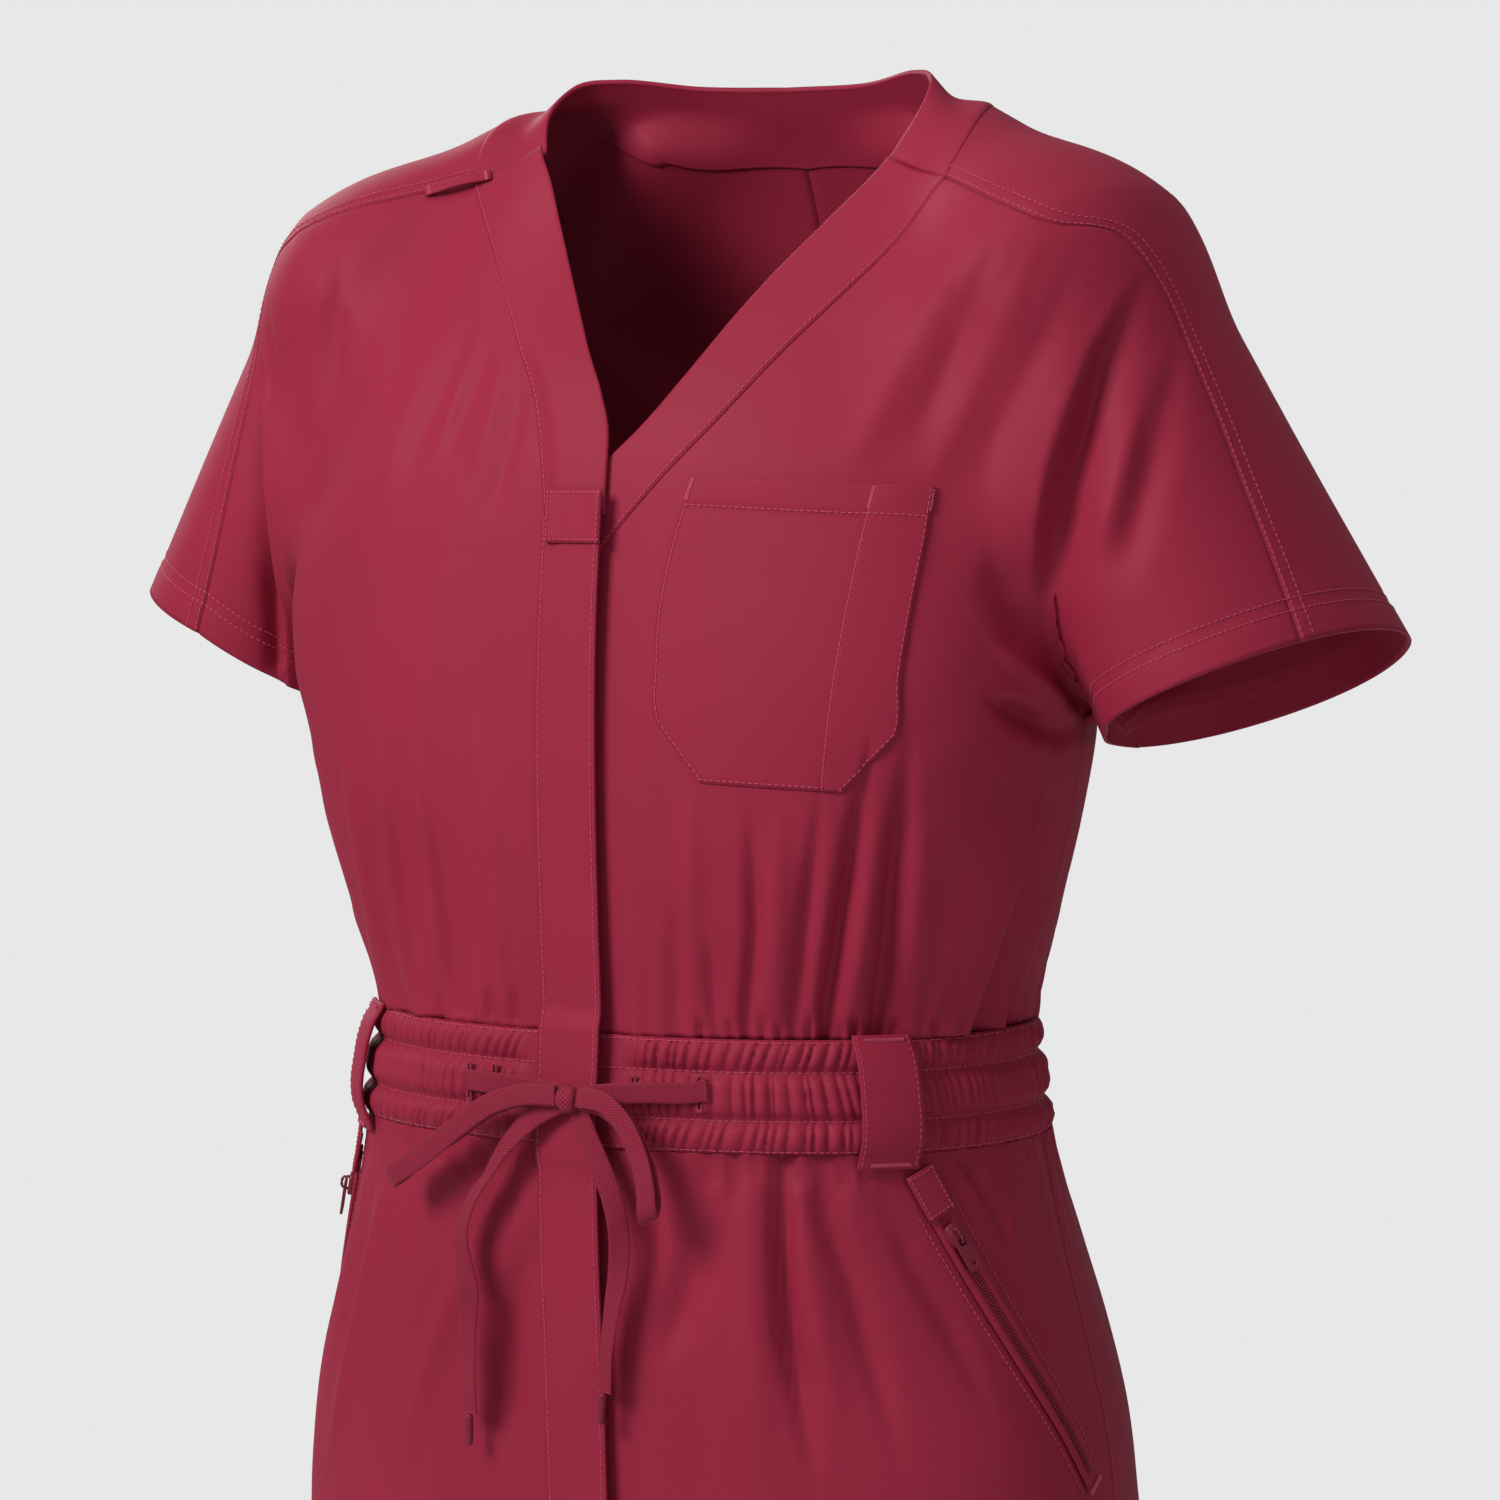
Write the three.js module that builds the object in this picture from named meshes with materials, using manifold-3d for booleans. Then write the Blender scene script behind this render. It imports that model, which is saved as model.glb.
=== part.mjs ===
// One-piece scrubs with short kimono sleeves, worn: cloth walls on a general figure, in millimetres.
// +Z is up, +X is the wearer's left, -Y is the front. The origin is midway between the high shoulder points.
import * as THREE from 'three';
import { mergeVertices } from 'three/addons/utils/BufferGeometryUtils.js';
import Module from 'manifold-3d';

const wasm = await Module();
wasm.setup();

// driving sizes
const clothWall = 1.8;
const bandWall = 2.4;
const overlayLift = 0.6;
const overlayWall = 1.5;
const seamGap = 0.3;
const waistTop = -383;
const waistBottom = -428;
const hemLevel = -1410;
const frontOpening = -9;
const placketLeft = 17;
const placketRight = -13.3;
const placketHead = -178;
const bandEnd = placketHead + seamGap;
const flyEnd = -606;
const sleeveDepthRatio = 1.27;
const shoulderTilt = 0.015;

const cloth = { color: 0x9b3248, roughness: 0.72, metalness: 0 };
const tapeCloth = { color: 0x8f2c44, roughness: 0.8, metalness: 0 };
const zipMetal = { color: 0x8a2a40, roughness: 0.4, metalness: 0.1 };

// body sections of the garment, half sizes from its own centre line
const bodySections = [
  { z: 10, width: 46, front: 8, back: 60, power: 2.2 },
  { z: -20, width: 60, front: 6, back: 76, power: 2.2 },
  { z: -60, width: 100, front: 42, back: 94, power: 2.2 },
  { z: -100, width: 140, front: 74, back: 106, power: 2.3 },
  { z: -150, width: 166, front: 96, back: 112, power: 2.5 },
  { z: -200, width: 175, front: 103, back: 114, power: 2.8 },
  { z: -244, width: 173, front: 106, back: 110, power: 3.0 },
  { z: -300, width: 163, front: 106, back: 105, power: 2.8 },
  { z: -340, width: 152, front: 104, back: 102, power: 2.5 },
  { z: -380, width: 141, front: 102, back: 100, power: 2.2 },
  { z: -425, width: 146, front: 105, back: 104, power: 2.2 },
  { z: -450, width: 151, front: 105, back: 116, power: 2.2 },
  { z: -480, width: 158, front: 104, back: 131, power: 2.2 },
  { z: -510, width: 166, front: 102, back: 144, power: 2.2 },
  { z: -545, width: 175, front: 100, back: 151, power: 2.2 },
  { z: -580, width: 180, front: 98, back: 152, power: 2.2 },
  { z: -640, width: 182, front: 97, back: 147, power: 2.2 },
  { z: -700, width: 181, front: 96, back: 142, power: 2.2 },
];
// leg sections, about a centre of their own on the wearer's left
const legSections = [
  { z: -560, x: 91, y: 24, width: 88, depth: 118 },
  { z: -640, x: 92, y: 24, width: 89, depth: 116 },
  { z: -720, x: 94, y: 22, width: 86, depth: 106 },
  { z: -840, x: 97, y: 20, width: 79, depth: 92 },
  { z: -980, x: 100, y: 20, width: 73, depth: 82 },
  { z: -1180, x: 103, y: 26, width: 70, depth: 77 },
  { z: -1440, x: 106, y: 30, width: 69, depth: 75 },
];
const neckEnd = { x: 74, y: 38, z: -12, radius: 15 };
const shoulderPoint = { x: 152, y: 18, z: -92, radius: 54 };
const sleeveHem = { x: 233, y: 34, z: -244, radius: 60 };
const hemDrop = { top: 6, back: 12 };
const riseStart = 575;
const riseEnd = 665;

// value of a named column at a place in a table, on smooth cubic pieces
function between(rows, key, column, place) {
  const ordered = rows[0][key] < rows[rows.length - 1][key] ? rows : [...rows].reverse();
  const last = ordered.length - 1;
  let i = 0;
  while (i < last - 1 && place > ordered[i + 1][key]) i += 1;
  const slope = (k) => {
    const before = ordered[Math.max(k - 1, 0)];
    const after = ordered[Math.min(k + 1, last)];
    if (k === 0 || k === last) return (after[column] - before[column]) / (after[key] - before[key]);
    const left = ordered[k][key] - before[key];
    const right = after[key] - ordered[k][key];
    const rise = left * left * after[column] + (right * right - left * left) * ordered[k][column]
      - right * right * before[column];
    return rise / (left * right * (left + right));
  };
  const span = ordered[i + 1][key] - ordered[i][key];
  const t = Math.min(Math.max((place - ordered[i][key]) / span, 0), 1);
  const square = t * t;
  const cube = square * t;
  return (2 * cube - 3 * square + 1) * ordered[i][column] + (cube - 2 * square + t) * span * slope(i)
    + (3 * square - 2 * cube) * ordered[i + 1][column] + (cube - square) * span * slope(i + 1);
}

function ease(value, from, to) {
  const t = Math.min(Math.max((value - from) / (to - from), 0), 1);
  return t * t * (3 - 2 * t);
}

function joined(a, b, round) {
  const h = Math.min(Math.max(0.5 + 0.5 * (b - a) / round, 0), 1);
  return b + (a - b) * h - round * h * (1 - h);
}

// distance from a superellipse, along the ray from its centre
function ring(x, y, halfWidth, halfDepth, power) {
  const reach = Math.hypot(x, y) + 1e-6;
  const scale = (Math.abs(x / halfWidth) ** power + Math.abs(y / halfDepth) ** power) ** (1 / power);
  return reach * (1 - 1 / (scale + 1e-9));
}

function body(x, y, z) {
  const halfDepth = between(bodySections, 'z', y < 0 ? 'front' : 'back', z);
  const power = y < 0 ? between(bodySections, 'z', 'power', z) : 2.2;
  return ring(x, y, between(bodySections, 'z', 'width', z), halfDepth, power);
}

function taper(x, y, z, a, b, overrun) {
  const ax = a.x;
  const ay = a.y / sleeveDepthRatio;
  const bx = (b.x - a.x) * overrun;
  const by = (b.y - a.y) / sleeveDepthRatio * overrun;
  const bz = (b.z - a.z) * overrun;
  const px = x - ax;
  const py = y - ay;
  const pz = z - a.z;
  const t = Math.min(Math.max((px * bx + py * by + pz * bz) / (bx * bx + by * by + bz * bz), 0), 1);
  const radius = a.radius + (b.radius - a.radius) * overrun * t;
  return Math.hypot(px - bx * t, py - by * t, pz - bz * t) - radius;
}

function sleeve(x, y, z) {
  const scaled = y / sleeveDepthRatio;
  const shoulder = taper(Math.abs(x), scaled, z, neckEnd, shoulderPoint, 1);
  const arm = taper(Math.abs(x), scaled, z, shoulderPoint, sleeveHem, 1.35);
  return joined(shoulder, arm, 20);
}

// the bodice, with sleeves that part from the body at the underarm
function bodice(x, y, z) {
  const level = z - shoulderTilt * x * ease(z, -170, -50);
  return joined(body(x, y, level), sleeve(x, y, level), 3 + 37 * ease(level, -258, -170));
}

function legs(x, y, z) {
  const column = (name) => between(legSections, 'z', name, Math.max(z, -1440));
  return ring(Math.abs(x) - column('x'), y - column('y'), column('width'), column('depth'), 2.1);
}

// hips that turn into two legs over the rise
function trousers(x, y, z) {
  const parted = ease(-z, riseStart, riseEnd);
  if (parted === 0) return body(x, y, z);
  const leg = legs(x, y, z);
  return parted === 1 ? leg : body(x, y, z) * (1 - parted) + leg * parted;
}

function normalAt(form, p) {
  const step = 0.5;
  const n = new THREE.Vector3(
    form(p.x + step, p.y, p.z) - form(p.x - step, p.y, p.z),
    form(p.x, p.y + step, p.z) - form(p.x, p.y - step, p.z),
    form(p.x, p.y, p.z + step) - form(p.x, p.y, p.z - step),
  );
  return n.divideScalar(2 * step);
}

// moves a point onto the form along its own slope
function settle(form, p) {
  const q = p.clone();
  for (let i = 0; i < 8; i += 1) {
    const slope = normalAt(form, q);
    q.addScaledVector(slope, -form(q.x, q.y, q.z) / Math.max(slope.lengthSq(), 0.05));
  }
  return q;
}

function rootBetween(inside, outside, value) {
  let a = inside;
  let b = outside;
  for (let i = 0; i < 30; i += 1) {
    const middle = (a + b) / 2;
    if (value(middle) < 0) a = middle;
    else b = middle;
  }
  return (a + b) / 2;
}

function frontPoint(form, x, z) {
  return new THREE.Vector3(x, rootBetween(20, -220, (y) => form(x, y, z)), z);
}

// large folds: troughs and ridges between two places in the front view, on the front or the back
const folds = [
  { side: -1, x1: -62, z1: -95, x2: -100, z2: -250, wide: 13, deep: -2.6 },
  { side: -1, x1: -45, z1: -120, x2: -78, z2: -300, wide: 11, deep: 1.8 },
  { side: -1, x1: -150, z1: -75, x2: -140, z2: -200, wide: 13, deep: -2.2 },
  { side: -1, x1: 160, z1: -85, x2: 162, z2: -235, wide: 13, deep: -3.0 },
  { side: -1, x1: 128, z1: -80, x2: 120, z2: -150, wide: 11, deep: 1.5 },
  { side: -1, x1: 70, z1: -300, x2: 66, z2: -383, wide: 9, deep: -1.8 },
  { side: -1, x1: -70, z1: -290, x2: -66, z2: -383, wide: 9, deep: -1.8 },
  { side: -1, x1: -40, z1: -455, x2: -34, z2: -760, wide: 12, deep: -3.0 },
  { side: -1, x1: 78, z1: -428, x2: 84, z2: -900, wide: 14, deep: 3.2 },
  { side: -1, x1: 52, z1: -440, x2: 60, z2: -700, wide: 11, deep: -2.2 },
  { side: -1, x1: -88, z1: -428, x2: -90, z2: -880, wide: 14, deep: 2.8 },
  { side: 1, x1: -120, z1: -120, x2: -70, z2: -330, wide: 15, deep: -2.6 },
  { side: 1, x1: 118, z1: -130, x2: 74, z2: -320, wide: 15, deep: -2.4 },
  { side: 1, x1: 12, z1: -200, x2: 8, z2: -383, wide: 13, deep: -2.0 },
  { side: 1, x1: 86, z1: -440, x2: 92, z2: -820, wide: 15, deep: 2.6 },
  { side: 1, x1: -92, z1: -440, x2: -96, z2: -860, wide: 15, deep: 2.6 },
  { side: -1, x1: 96, z1: -930, x2: 120, z2: -1010, wide: 14, deep: -2.6 },
  { side: -1, x1: -98, z1: -950, x2: -122, z2: -1020, wide: 14, deep: -2.4 },
];

function foldLift(p) {
  let lift = 0;
  for (const fold of folds) {
    const dx = fold.x2 - fold.x1;
    const dz = fold.z2 - fold.z1;
    const along = ((p.x - fold.x1) * dx + (p.z - fold.z1) * dz) / (dx * dx + dz * dz);
    const t = Math.min(Math.max(along, 0), 1);
    const away = Math.hypot(p.x - fold.x1 - dx * t, p.z - fold.z1 - dz * t);
    const facing = ease(fold.side * p.y, -10, 25);
    lift += fold.deep * facing * Math.exp(-((away / fold.wide) ** 2)) * (0.35 + 0.65 * ease(t, 0, 0.3));
  }
  const still = 0.15 + 0.85 * ease(Math.abs(p.x - 2), 16, 34);
  return lift * (p.y < 0 ? still : 1) * (1 - ease(p.z, -60, -20));
}

// a place on cloth: its point on the form, the way out, and how far out the cloth's face lies there
function place(form, p, extra = 0) {
  const n = normalAt(form, p);
  if (Math.min(Math.abs(p.z - waistTop), Math.abs(p.z - waistBottom)) < 1) n.z = 0;
  return { p, n: n.normalize(), lift: foldLift(p) + extra };
}

// triangles between rows of one length, or of which one has twice the steps of the other
function strips(rows) {
  const triangles = [];
  for (let r = 0; r < rows.length - 1; r += 1) {
    const a = rows[r];
    const b = rows[r + 1];
    const steps = Math.min(a.length, b.length) - 1;
    const fineA = (a.length - 1) / steps;
    const fineB = (b.length - 1) / steps;
    for (let i = 0; i < steps; i += 1) {
      if (fineA === 1 && fineB === 1) {
        triangles.push([a[i], b[i], b[i + 1]], [a[i], b[i + 1], a[i + 1]]);
      } else if (fineA === 2) {
        triangles.push([a[2 * i], b[i], a[2 * i + 1]], [b[i], b[i + 1], a[2 * i + 1]],
          [a[2 * i + 1], b[i + 1], a[2 * i + 2]]);
      } else {
        triangles.push([a[i], b[2 * i], b[2 * i + 1]], [a[i], b[2 * i + 1], a[i + 1]],
          [a[i + 1], b[2 * i + 1], b[2 * i + 2]]);
      }
    }
  }
  return triangles;
}

// a closed wall from blocks of rows: outer face, inner face and rim, drawn in by half the seam gap
function wall(name, blocks, thickness, look) {
  const points = [];
  const found = new Map();
  const index = (spot) => {
    const key = spot.p.toArray().map((v) => v.toFixed(2)).join();
    if (!found.has(key)) {
      found.set(key, points.length);
      points.push({ ...spot, p: spot.p.clone() });
    }
    return found.get(key);
  };
  const outwards = (rows) => {
    const faces = strips(rows.map((row) => row.map(index))).filter(([a, b, c]) => a !== b && b !== c && a !== c);
    let facing = 0;
    for (const [a, b, c] of faces) {
      const across = points[b].p.clone().sub(points[a].p).cross(points[c].p.clone().sub(points[a].p));
      facing += across.dot(points[a].n);
    }
    return facing < 0 ? faces.map(([a, b, c]) => [a, c, b]) : faces;
  };
  const faces = blocks.flatMap(outwards);
  const edges = (face) => [[face[0], face[1]], [face[1], face[2]], [face[2], face[0]]];
  const used = new Set(faces.flatMap((face) => edges(face).map((edge) => edge.join())));
  const rim = faces.flatMap((face) => edges(face).filter(([a, b]) => !used.has([b, a].join())));
  drawIn(points, rim);
  const count = points.length;
  const corners = faces.flatMap(([a, b, c]) => [a, b, c, a + count, c + count, b + count]);
  for (const [a, b] of rim) {
    const lower = points[a].p.z + 0.1 * points[a].p.y < points[b].p.z + 0.1 * points[b].p.y;
    if (lower) corners.push(a, a + count, b + count, a, b + count, b);
    else corners.push(a, a + count, b, b, a + count, b + count);
  }
  const face = (depth) => points.map((s) => s.p.clone().addScaledVector(s.n, s.lift - depth));
  return solid(name, [...face(0), ...face(thickness)], corners, look);
}

function drawIn(points, rim) {
  const inwards = new Map();
  for (const [a, b] of rim) {
    const way = points[b].p.clone().sub(points[a].p);
    const inward = points[a].n.clone().cross(way).normalize();
    for (const end of [a, b]) inwards.set(end, [...(inwards.get(end) ?? []), inward]);
  }
  for (const [end, [first, second]] of inwards) {
    const mitre = first.clone().add(second).divideScalar(Math.max(1 + first.dot(second), 0.5));
    points[end].p.addScaledVector(mitre, seamGap / 2);
  }
}

function solid(name, points, corners, look) {
  const geometry = new THREE.BufferGeometry();
  geometry.setAttribute('position', new THREE.Float32BufferAttribute(points.flatMap((p) => p.toArray()), 3));
  geometry.setIndex(corners);
  const mesh = new THREE.Mesh(geometry, new THREE.MeshStandardMaterial(look));
  mesh.name = name;
  return mesh;
}

const model = new THREE.Group();

// point of a seam table at t
function along(rows, t) {
  return new THREE.Vector3(between(rows, 't', 'x', t), between(rows, 't', 'y', t), between(rows, 't', 'z', t));
}

// a four-sided block between its edge lines, settled on a form
function block(form, edges, acrossCounts, downSteps, lift) {
  const { top, bottom, inner, outer } = edges;
  const corner = { a: inner(0), b: outer(0), c: inner(1), d: outer(1) };
  return downSteps.map((t, r) => {
    const steps = acrossCounts[r];
    return Array.from({ length: steps + 1 }, (_, i) => {
      const s = i / steps;
      const p = top(s).multiplyScalar(1 - t).addScaledVector(bottom(s), t)
        .addScaledVector(inner(t), 1 - s).addScaledVector(outer(t), s)
        .addScaledVector(corner.a, -(1 - s) * (1 - t)).addScaledVector(corner.b, -s * (1 - t))
        .addScaledVector(corner.c, -(1 - s) * t).addScaledVector(corner.d, -s * t);
      return place(form, settle(form, p), lift(s, t));
    });
  });
}

// seam over the shoulder and down the arm, by side, on the front of the arm's middle
const shoulderSeam = {
  left: [
    { t: 0, x: 124, y: -22, z: -44 }, { t: 0.22, x: 160, y: -38, z: -57 }, { t: 0.34, x: 180, y: -37, z: -64 },
    { t: 0.46, x: 200, y: -14, z: -70 }, { t: 0.54, x: 212, y: -5, z: -88 }, { t: 0.7, x: 231, y: -3, z: -130 },
    { t: 0.85, x: 252, y: -7, z: -172 }, { t: 1, x: 268, y: -6, z: -229 },
  ],
  right: [
    { t: 0, x: 106, y: -8, z: -45 }, { t: 0.22, x: 146, y: -30, z: -56 }, { t: 0.34, x: 176, y: -38, z: -66 },
    { t: 0.46, x: 196, y: -31, z: -82 }, { t: 0.54, x: 198, y: -38, z: -102 }, { t: 0.7, x: 201, y: -43, z: -140 },
    { t: 0.85, x: 211, y: -44, z: -186 }, { t: 1, x: 225, y: -43, z: -233 },
  ],
};
const armholeFromSeam = 0.34;
const frontArmhole = {
  left: [
    { t: 0, x: 180, y: -39, z: -65 }, { t: 0.2, x: 187, y: -52, z: -100 }, { t: 0.45, x: 188, y: -50, z: -150 },
    { t: 0.68, x: 183, y: -40, z: -198 }, { t: 0.86, x: 177, y: -20, z: -238 }, { t: 1, x: 173, y: 10, z: -261 },
  ],
  right: [
    { t: 0, x: 176, y: -38, z: -66 }, { t: 0.2, x: 172, y: -60, z: -100 }, { t: 0.45, x: 168, y: -68, z: -150 },
    { t: 0.68, x: 169, y: -58, z: -198 }, { t: 0.86, x: 172, y: -30, z: -238 }, { t: 1, x: 173, y: 10, z: -261 },
  ],
};
const backArmhole = [
  { t: 0, x: 180, y: -39, z: -65 }, { t: 0.18, x: 184, y: 8, z: -48 }, { t: 0.36, x: 188, y: 60, z: -74 },
  { t: 0.54, x: 188, y: 90, z: -120 }, { t: 0.72, x: 184, y: 92, z: -175 }, { t: 0.87, x: 178, y: 62, z: -225 },
  { t: 1, x: 173, y: 10, z: -261 },
];
const sideSeamY = 20;
const underarmAt = 0.62;

const neckSeam = {
  left: [
    { t: 0, x: 124, y: -22, z: -44 }, { t: 0.1, x: 106, y: -42, z: -73 }, { t: 0.2, x: 85, y: -67, z: -105 },
    { t: 0.31, x: 60, y: -89, z: -139 }, { t: 0.4, x: 36, y: -97, z: -166 }, { t: 0.47, x: 14, y: -102, z: -190 },
    { t: 0.54, x: frontOpening, y: -103, z: -215 }, { t: 0.6, x: frontOpening, y: -104, z: -238 },
    { t: 1, x: frontOpening, y: -102, z: waistTop },
  ],
  right: [
    { t: 0, x: -106, y: -8, z: -45 }, { t: 0.1, x: -86, y: -30, z: -63 }, { t: 0.2, x: -63, y: -54, z: -83 },
    { t: 0.3, x: -39, y: -78, z: -110 }, { t: 0.38, x: -23, y: -91, z: -134 }, { t: 0.42, x: -17, y: -96, z: -151 },
    { t: 0.48, x: -12, y: -100, z: bandEnd }, { t: 0.54, x: frontOpening, y: -103, z: -200 },
    { t: 1, x: frontOpening, y: -102, z: waistTop },
  ],
};
// from the middle of the back to the shoulder seam, by side
const backNeckSeam = {
  left: [
    { t: 0, x: 0, y: 84, z: -36 }, { t: 0.27, x: 48, y: 78, z: -32 }, { t: 0.52, x: 88, y: 56, z: -26 },
    { t: 0.72, x: 112, y: 28, z: -24 }, { t: 0.88, x: 122, y: 0, z: -30 }, { t: 1, x: 124, y: -22, z: -44 },
  ],
  right: [
    { t: 0, x: 0, y: 84, z: -36 }, { t: 0.27, x: -48, y: 78, z: -32 }, { t: 0.52, x: -84, y: 56, z: -26 },
    { t: 0.74, x: -104, y: 30, z: -25 }, { t: 0.9, x: -108, y: 6, z: -34 }, { t: 1, x: -106, y: -8, z: -45 },
  ],
};
const backNeckEdge = {
  left: [
    { t: 0, x: 0, y: 66, z: -4 }, { t: 0.27, x: 40, y: 62, z: -3 }, { t: 0.52, x: 72, y: 46, z: 1 },
    { t: 0.72, x: 90, y: 28, z: -3 }, { t: 0.88, x: 95, y: 8, z: -18 }, { t: 1, x: 90, y: -6, z: -36 },
  ],
  right: [
    { t: 0, x: 0, y: 66, z: -4 }, { t: 0.27, x: -40, y: 62, z: -3 }, { t: 0.52, x: -70, y: 46, z: 0 },
    { t: 0.74, x: -84, y: 30, z: -4 }, { t: 0.9, x: -84, y: 12, z: -18 }, { t: 1, x: -78, y: 2, z: -32 },
  ],
};
const frontNeckEdge = {
  left: [
    { t: 0, x: 90, y: -6, z: -36 }, { t: 0.1, x: 71, y: -44, z: -71 }, { t: 0.2, x: 57, y: -68, z: -98 },
    { t: 0.31, x: 42, y: -85, z: -123 }, { t: 0.4, x: 26, y: -94, z: -144 }, { t: 0.47, x: 8, y: -98, z: -162 },
    { t: 0.54, x: frontOpening, y: -100, z: -180 },
  ],
  right: [
    { t: 0, x: -78, y: 2, z: -32 }, { t: 0.1, x: -50, y: -32, z: -57 }, { t: 0.2, x: -24, y: -62, z: -85 },
    { t: 0.3, x: -4, y: -81, z: -112 }, { t: 0.38, x: 9, y: -90, z: -132 }, { t: 0.42, x: 14.5, y: -94, z: -145 },
    { t: 0.48, x: placketLeft, y: -99, z: bandEnd },
  ],
};
const backNeckLevel = -36;
const neckSeamShare = 8 / 12;
const shoulderSteps = 4;

const gatherRows = [0.62, 0.7, 0.78, 0.86, 0.93, 1];
const plainRows = [0, 0.07, 0.14, 0.21, 0.28, 0.35, 0.42, 0.48, 0.54];
const bodiceWaves = 12;

// height of the small folds that the waist gathers, for a column of a panel
function gatherLift(s, fade, size) {
  const column = Math.round(s * 2 * bodiceWaves);
  const uneven = 0.75 + 0.25 * Math.sin(2.4 * column);
  const side = column % 2 === 0 ? 1 : -1;
  const calm = ease(s, 0.04, 0.14) * (1 - ease(s, 0.97, 1));
  return size * side * uneven * fade * calm;
}

function mirrored(rows, flip) {
  return flip ? rows.map((row) => ({ ...row, x: -row.x })) : rows;
}

function waistLine(handed, from, to) {
  return (s) => {
    const turn = from + (to - from) * s;
    const halfDepth = Math.cos(turn) > 0 ? 102 : 100;
    return new THREE.Vector3(handed * 141 * Math.sin(turn), -halfDepth * Math.cos(turn), waistTop);
  };
}

// the seam from the neck to the armhole, straight between the steps that front and back share
function shoulderChord(seam, s) {
  const step = Math.min(Math.floor(s * shoulderSteps + 1e-6), shoulderSteps - 1);
  const knot = (k) => along(seam, armholeFromSeam * k / shoulderSteps);
  return knot(step).lerp(knot(step + 1), s * shoulderSteps - step);
}

function bodicePanel(side, facing) {
  const flip = side === 'right';
  const handed = flip ? -1 : 1;
  const isFront = facing === 'front';
  const seam = mirrored(shoulderSeam[side], flip);
  const armhole = mirrored(isFront ? frontArmhole[side] : backArmhole, flip);
  armhole[0] = { t: 0, ...along(seam, armholeFromSeam) };
  const underarm = settle(bodice, along(armhole, 1));
  const sideTurn = Math.PI / 2 + Math.asin(sideSeamY / 101);
  const startTurn = isFront ? Math.asin(handed * frontOpening / 141) : Math.PI;
  const waist = waistLine(handed, startTurn, sideTurn);
  const waistSide = waist(1);
  const side2 = (t) => new THREE.Vector3().lerpVectors(underarm, waistSide, t);
  const torsoEdges = {
    top: (s) => (isFront ? shoulderChord(seam, s) : backTop(seam, side, s)),
    bottom: waist,
    inner: (t) => (isFront ? along(neckSeam[side], t)
      : new THREE.Vector3(0, 84, backNeckLevel + (waistTop - backNeckLevel) * t)),
    outer: (t) => (t < underarmAt ? along(armhole, t / underarmAt) : side2((t - underarmAt) / (1 - underarmAt))),
  };
  const down = [...plainRows, ...gatherRows];
  const counts = down.map((t) => (t < 0.75 ? bodiceWaves : 2 * bodiceWaves));
  const torso = block(bodice, torsoEdges, counts, down,
    (s, t) => (t < 0.75 ? 0 : gatherLift(s, ease(t, 0.66, 1), 1.5)));
  const hemOuter = along(seam, 1);
  const axis = new THREE.Vector3(handed * (sleeveHem.x - shoulderPoint.x), sleeveHem.y - shoulderPoint.y,
    sleeveHem.z - shoulderPoint.z).normalize();
  const centre = new THREE.Vector3(handed * sleeveHem.x, sleeveHem.y, sleeveHem.z);
  const outward = new THREE.Vector3(handed, 0, 0).addScaledVector(axis, -handed * axis.x).normalize();
  const depthward = axis.clone().cross(outward);
  if (depthward.y < 0) depthward.negate();
  const toSeam = hemOuter.clone().sub(centre);
  const seamTurn = Math.atan2(toSeam.dot(depthward) / sleeveDepthRatio, toSeam.dot(outward));
  const onHem = (s) => {
    const turn = seamTurn + ((isFront ? -Math.PI : Math.PI) - seamTurn) * s;
    return centre.clone().addScaledVector(outward, sleeveHem.radius * Math.cos(turn))
      .addScaledVector(depthward, sleeveHem.radius * sleeveDepthRatio * Math.sin(turn))
      .addScaledVector(axis, hemDrop.top * (1 + Math.cos(turn)) / 2 + hemDrop.back * Math.sin(turn));
  };
  const sleeveDown = down.filter((t) => t <= underarmAt).map((t) => t / underarmAt);
  const sleeveEdges = {
    inner: (t) => along(armhole, t),
    outer: onHem,
    top: (s) => along(seam, armholeFromSeam + (1 - armholeFromSeam) * s),
    bottom: (s) => new THREE.Vector3().lerpVectors(underarm, onHem(1), s),
  };
  const sleeveSteps = 8;
  const arm = block(bodice, sleeveEdges, sleeveDown.map(() => sleeveSteps), sleeveDown, () => 0);
  for (let r = 0; r < arm.length; r += 1) arm[r][0] = torso[r][torso[r].length - 1];
  return { torso, arm };
}

function backTop(seam, side, s) {
  if (s < neckSeamShare) return along(backNeckSeam[side], s / neckSeamShare);
  return shoulderChord(seam, (s - neckSeamShare) / (1 - neckSeamShare));
}

const sides = ['right', 'left'];

for (const side of sides) {
  const { torso, arm } = bodicePanel(side, 'front');
  const keepSide = side === 'left' ? 1 : -1;
  for (const row of torso) row[0].p.x = keepSide * Math.max(keepSide * row[0].p.x, keepSide * frontOpening);
  model.add(wall(`front_${side}`, [torso, arm], clothWall, cloth));
}
for (const side of sides) {
  const { torso, arm } = bodicePanel(side, 'back');
  for (const row of torso) row[0].p.x = 0;
  model.add(wall(`back_${side}`, [torso, arm], clothWall, cloth));
}

// neckband: strips between the free neck edge and the seam of the panels
function bandRows(edge, seam, steps, lift) {
  const across = 3;
  return steps.map((t) => Array.from({ length: across + 1 }, (_, i) => {
    const s = i / across;
    const p = new THREE.Vector3().lerpVectors(along(edge, t), along(seam, t), s);
    return place(bodice, settle(bodice, p), lift(s, t));
  }));
}

function evenly(from, to, steps) {
  return Array.from({ length: steps + 1 }, (_, i) => from + (to - from) * i / steps);
}

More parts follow.
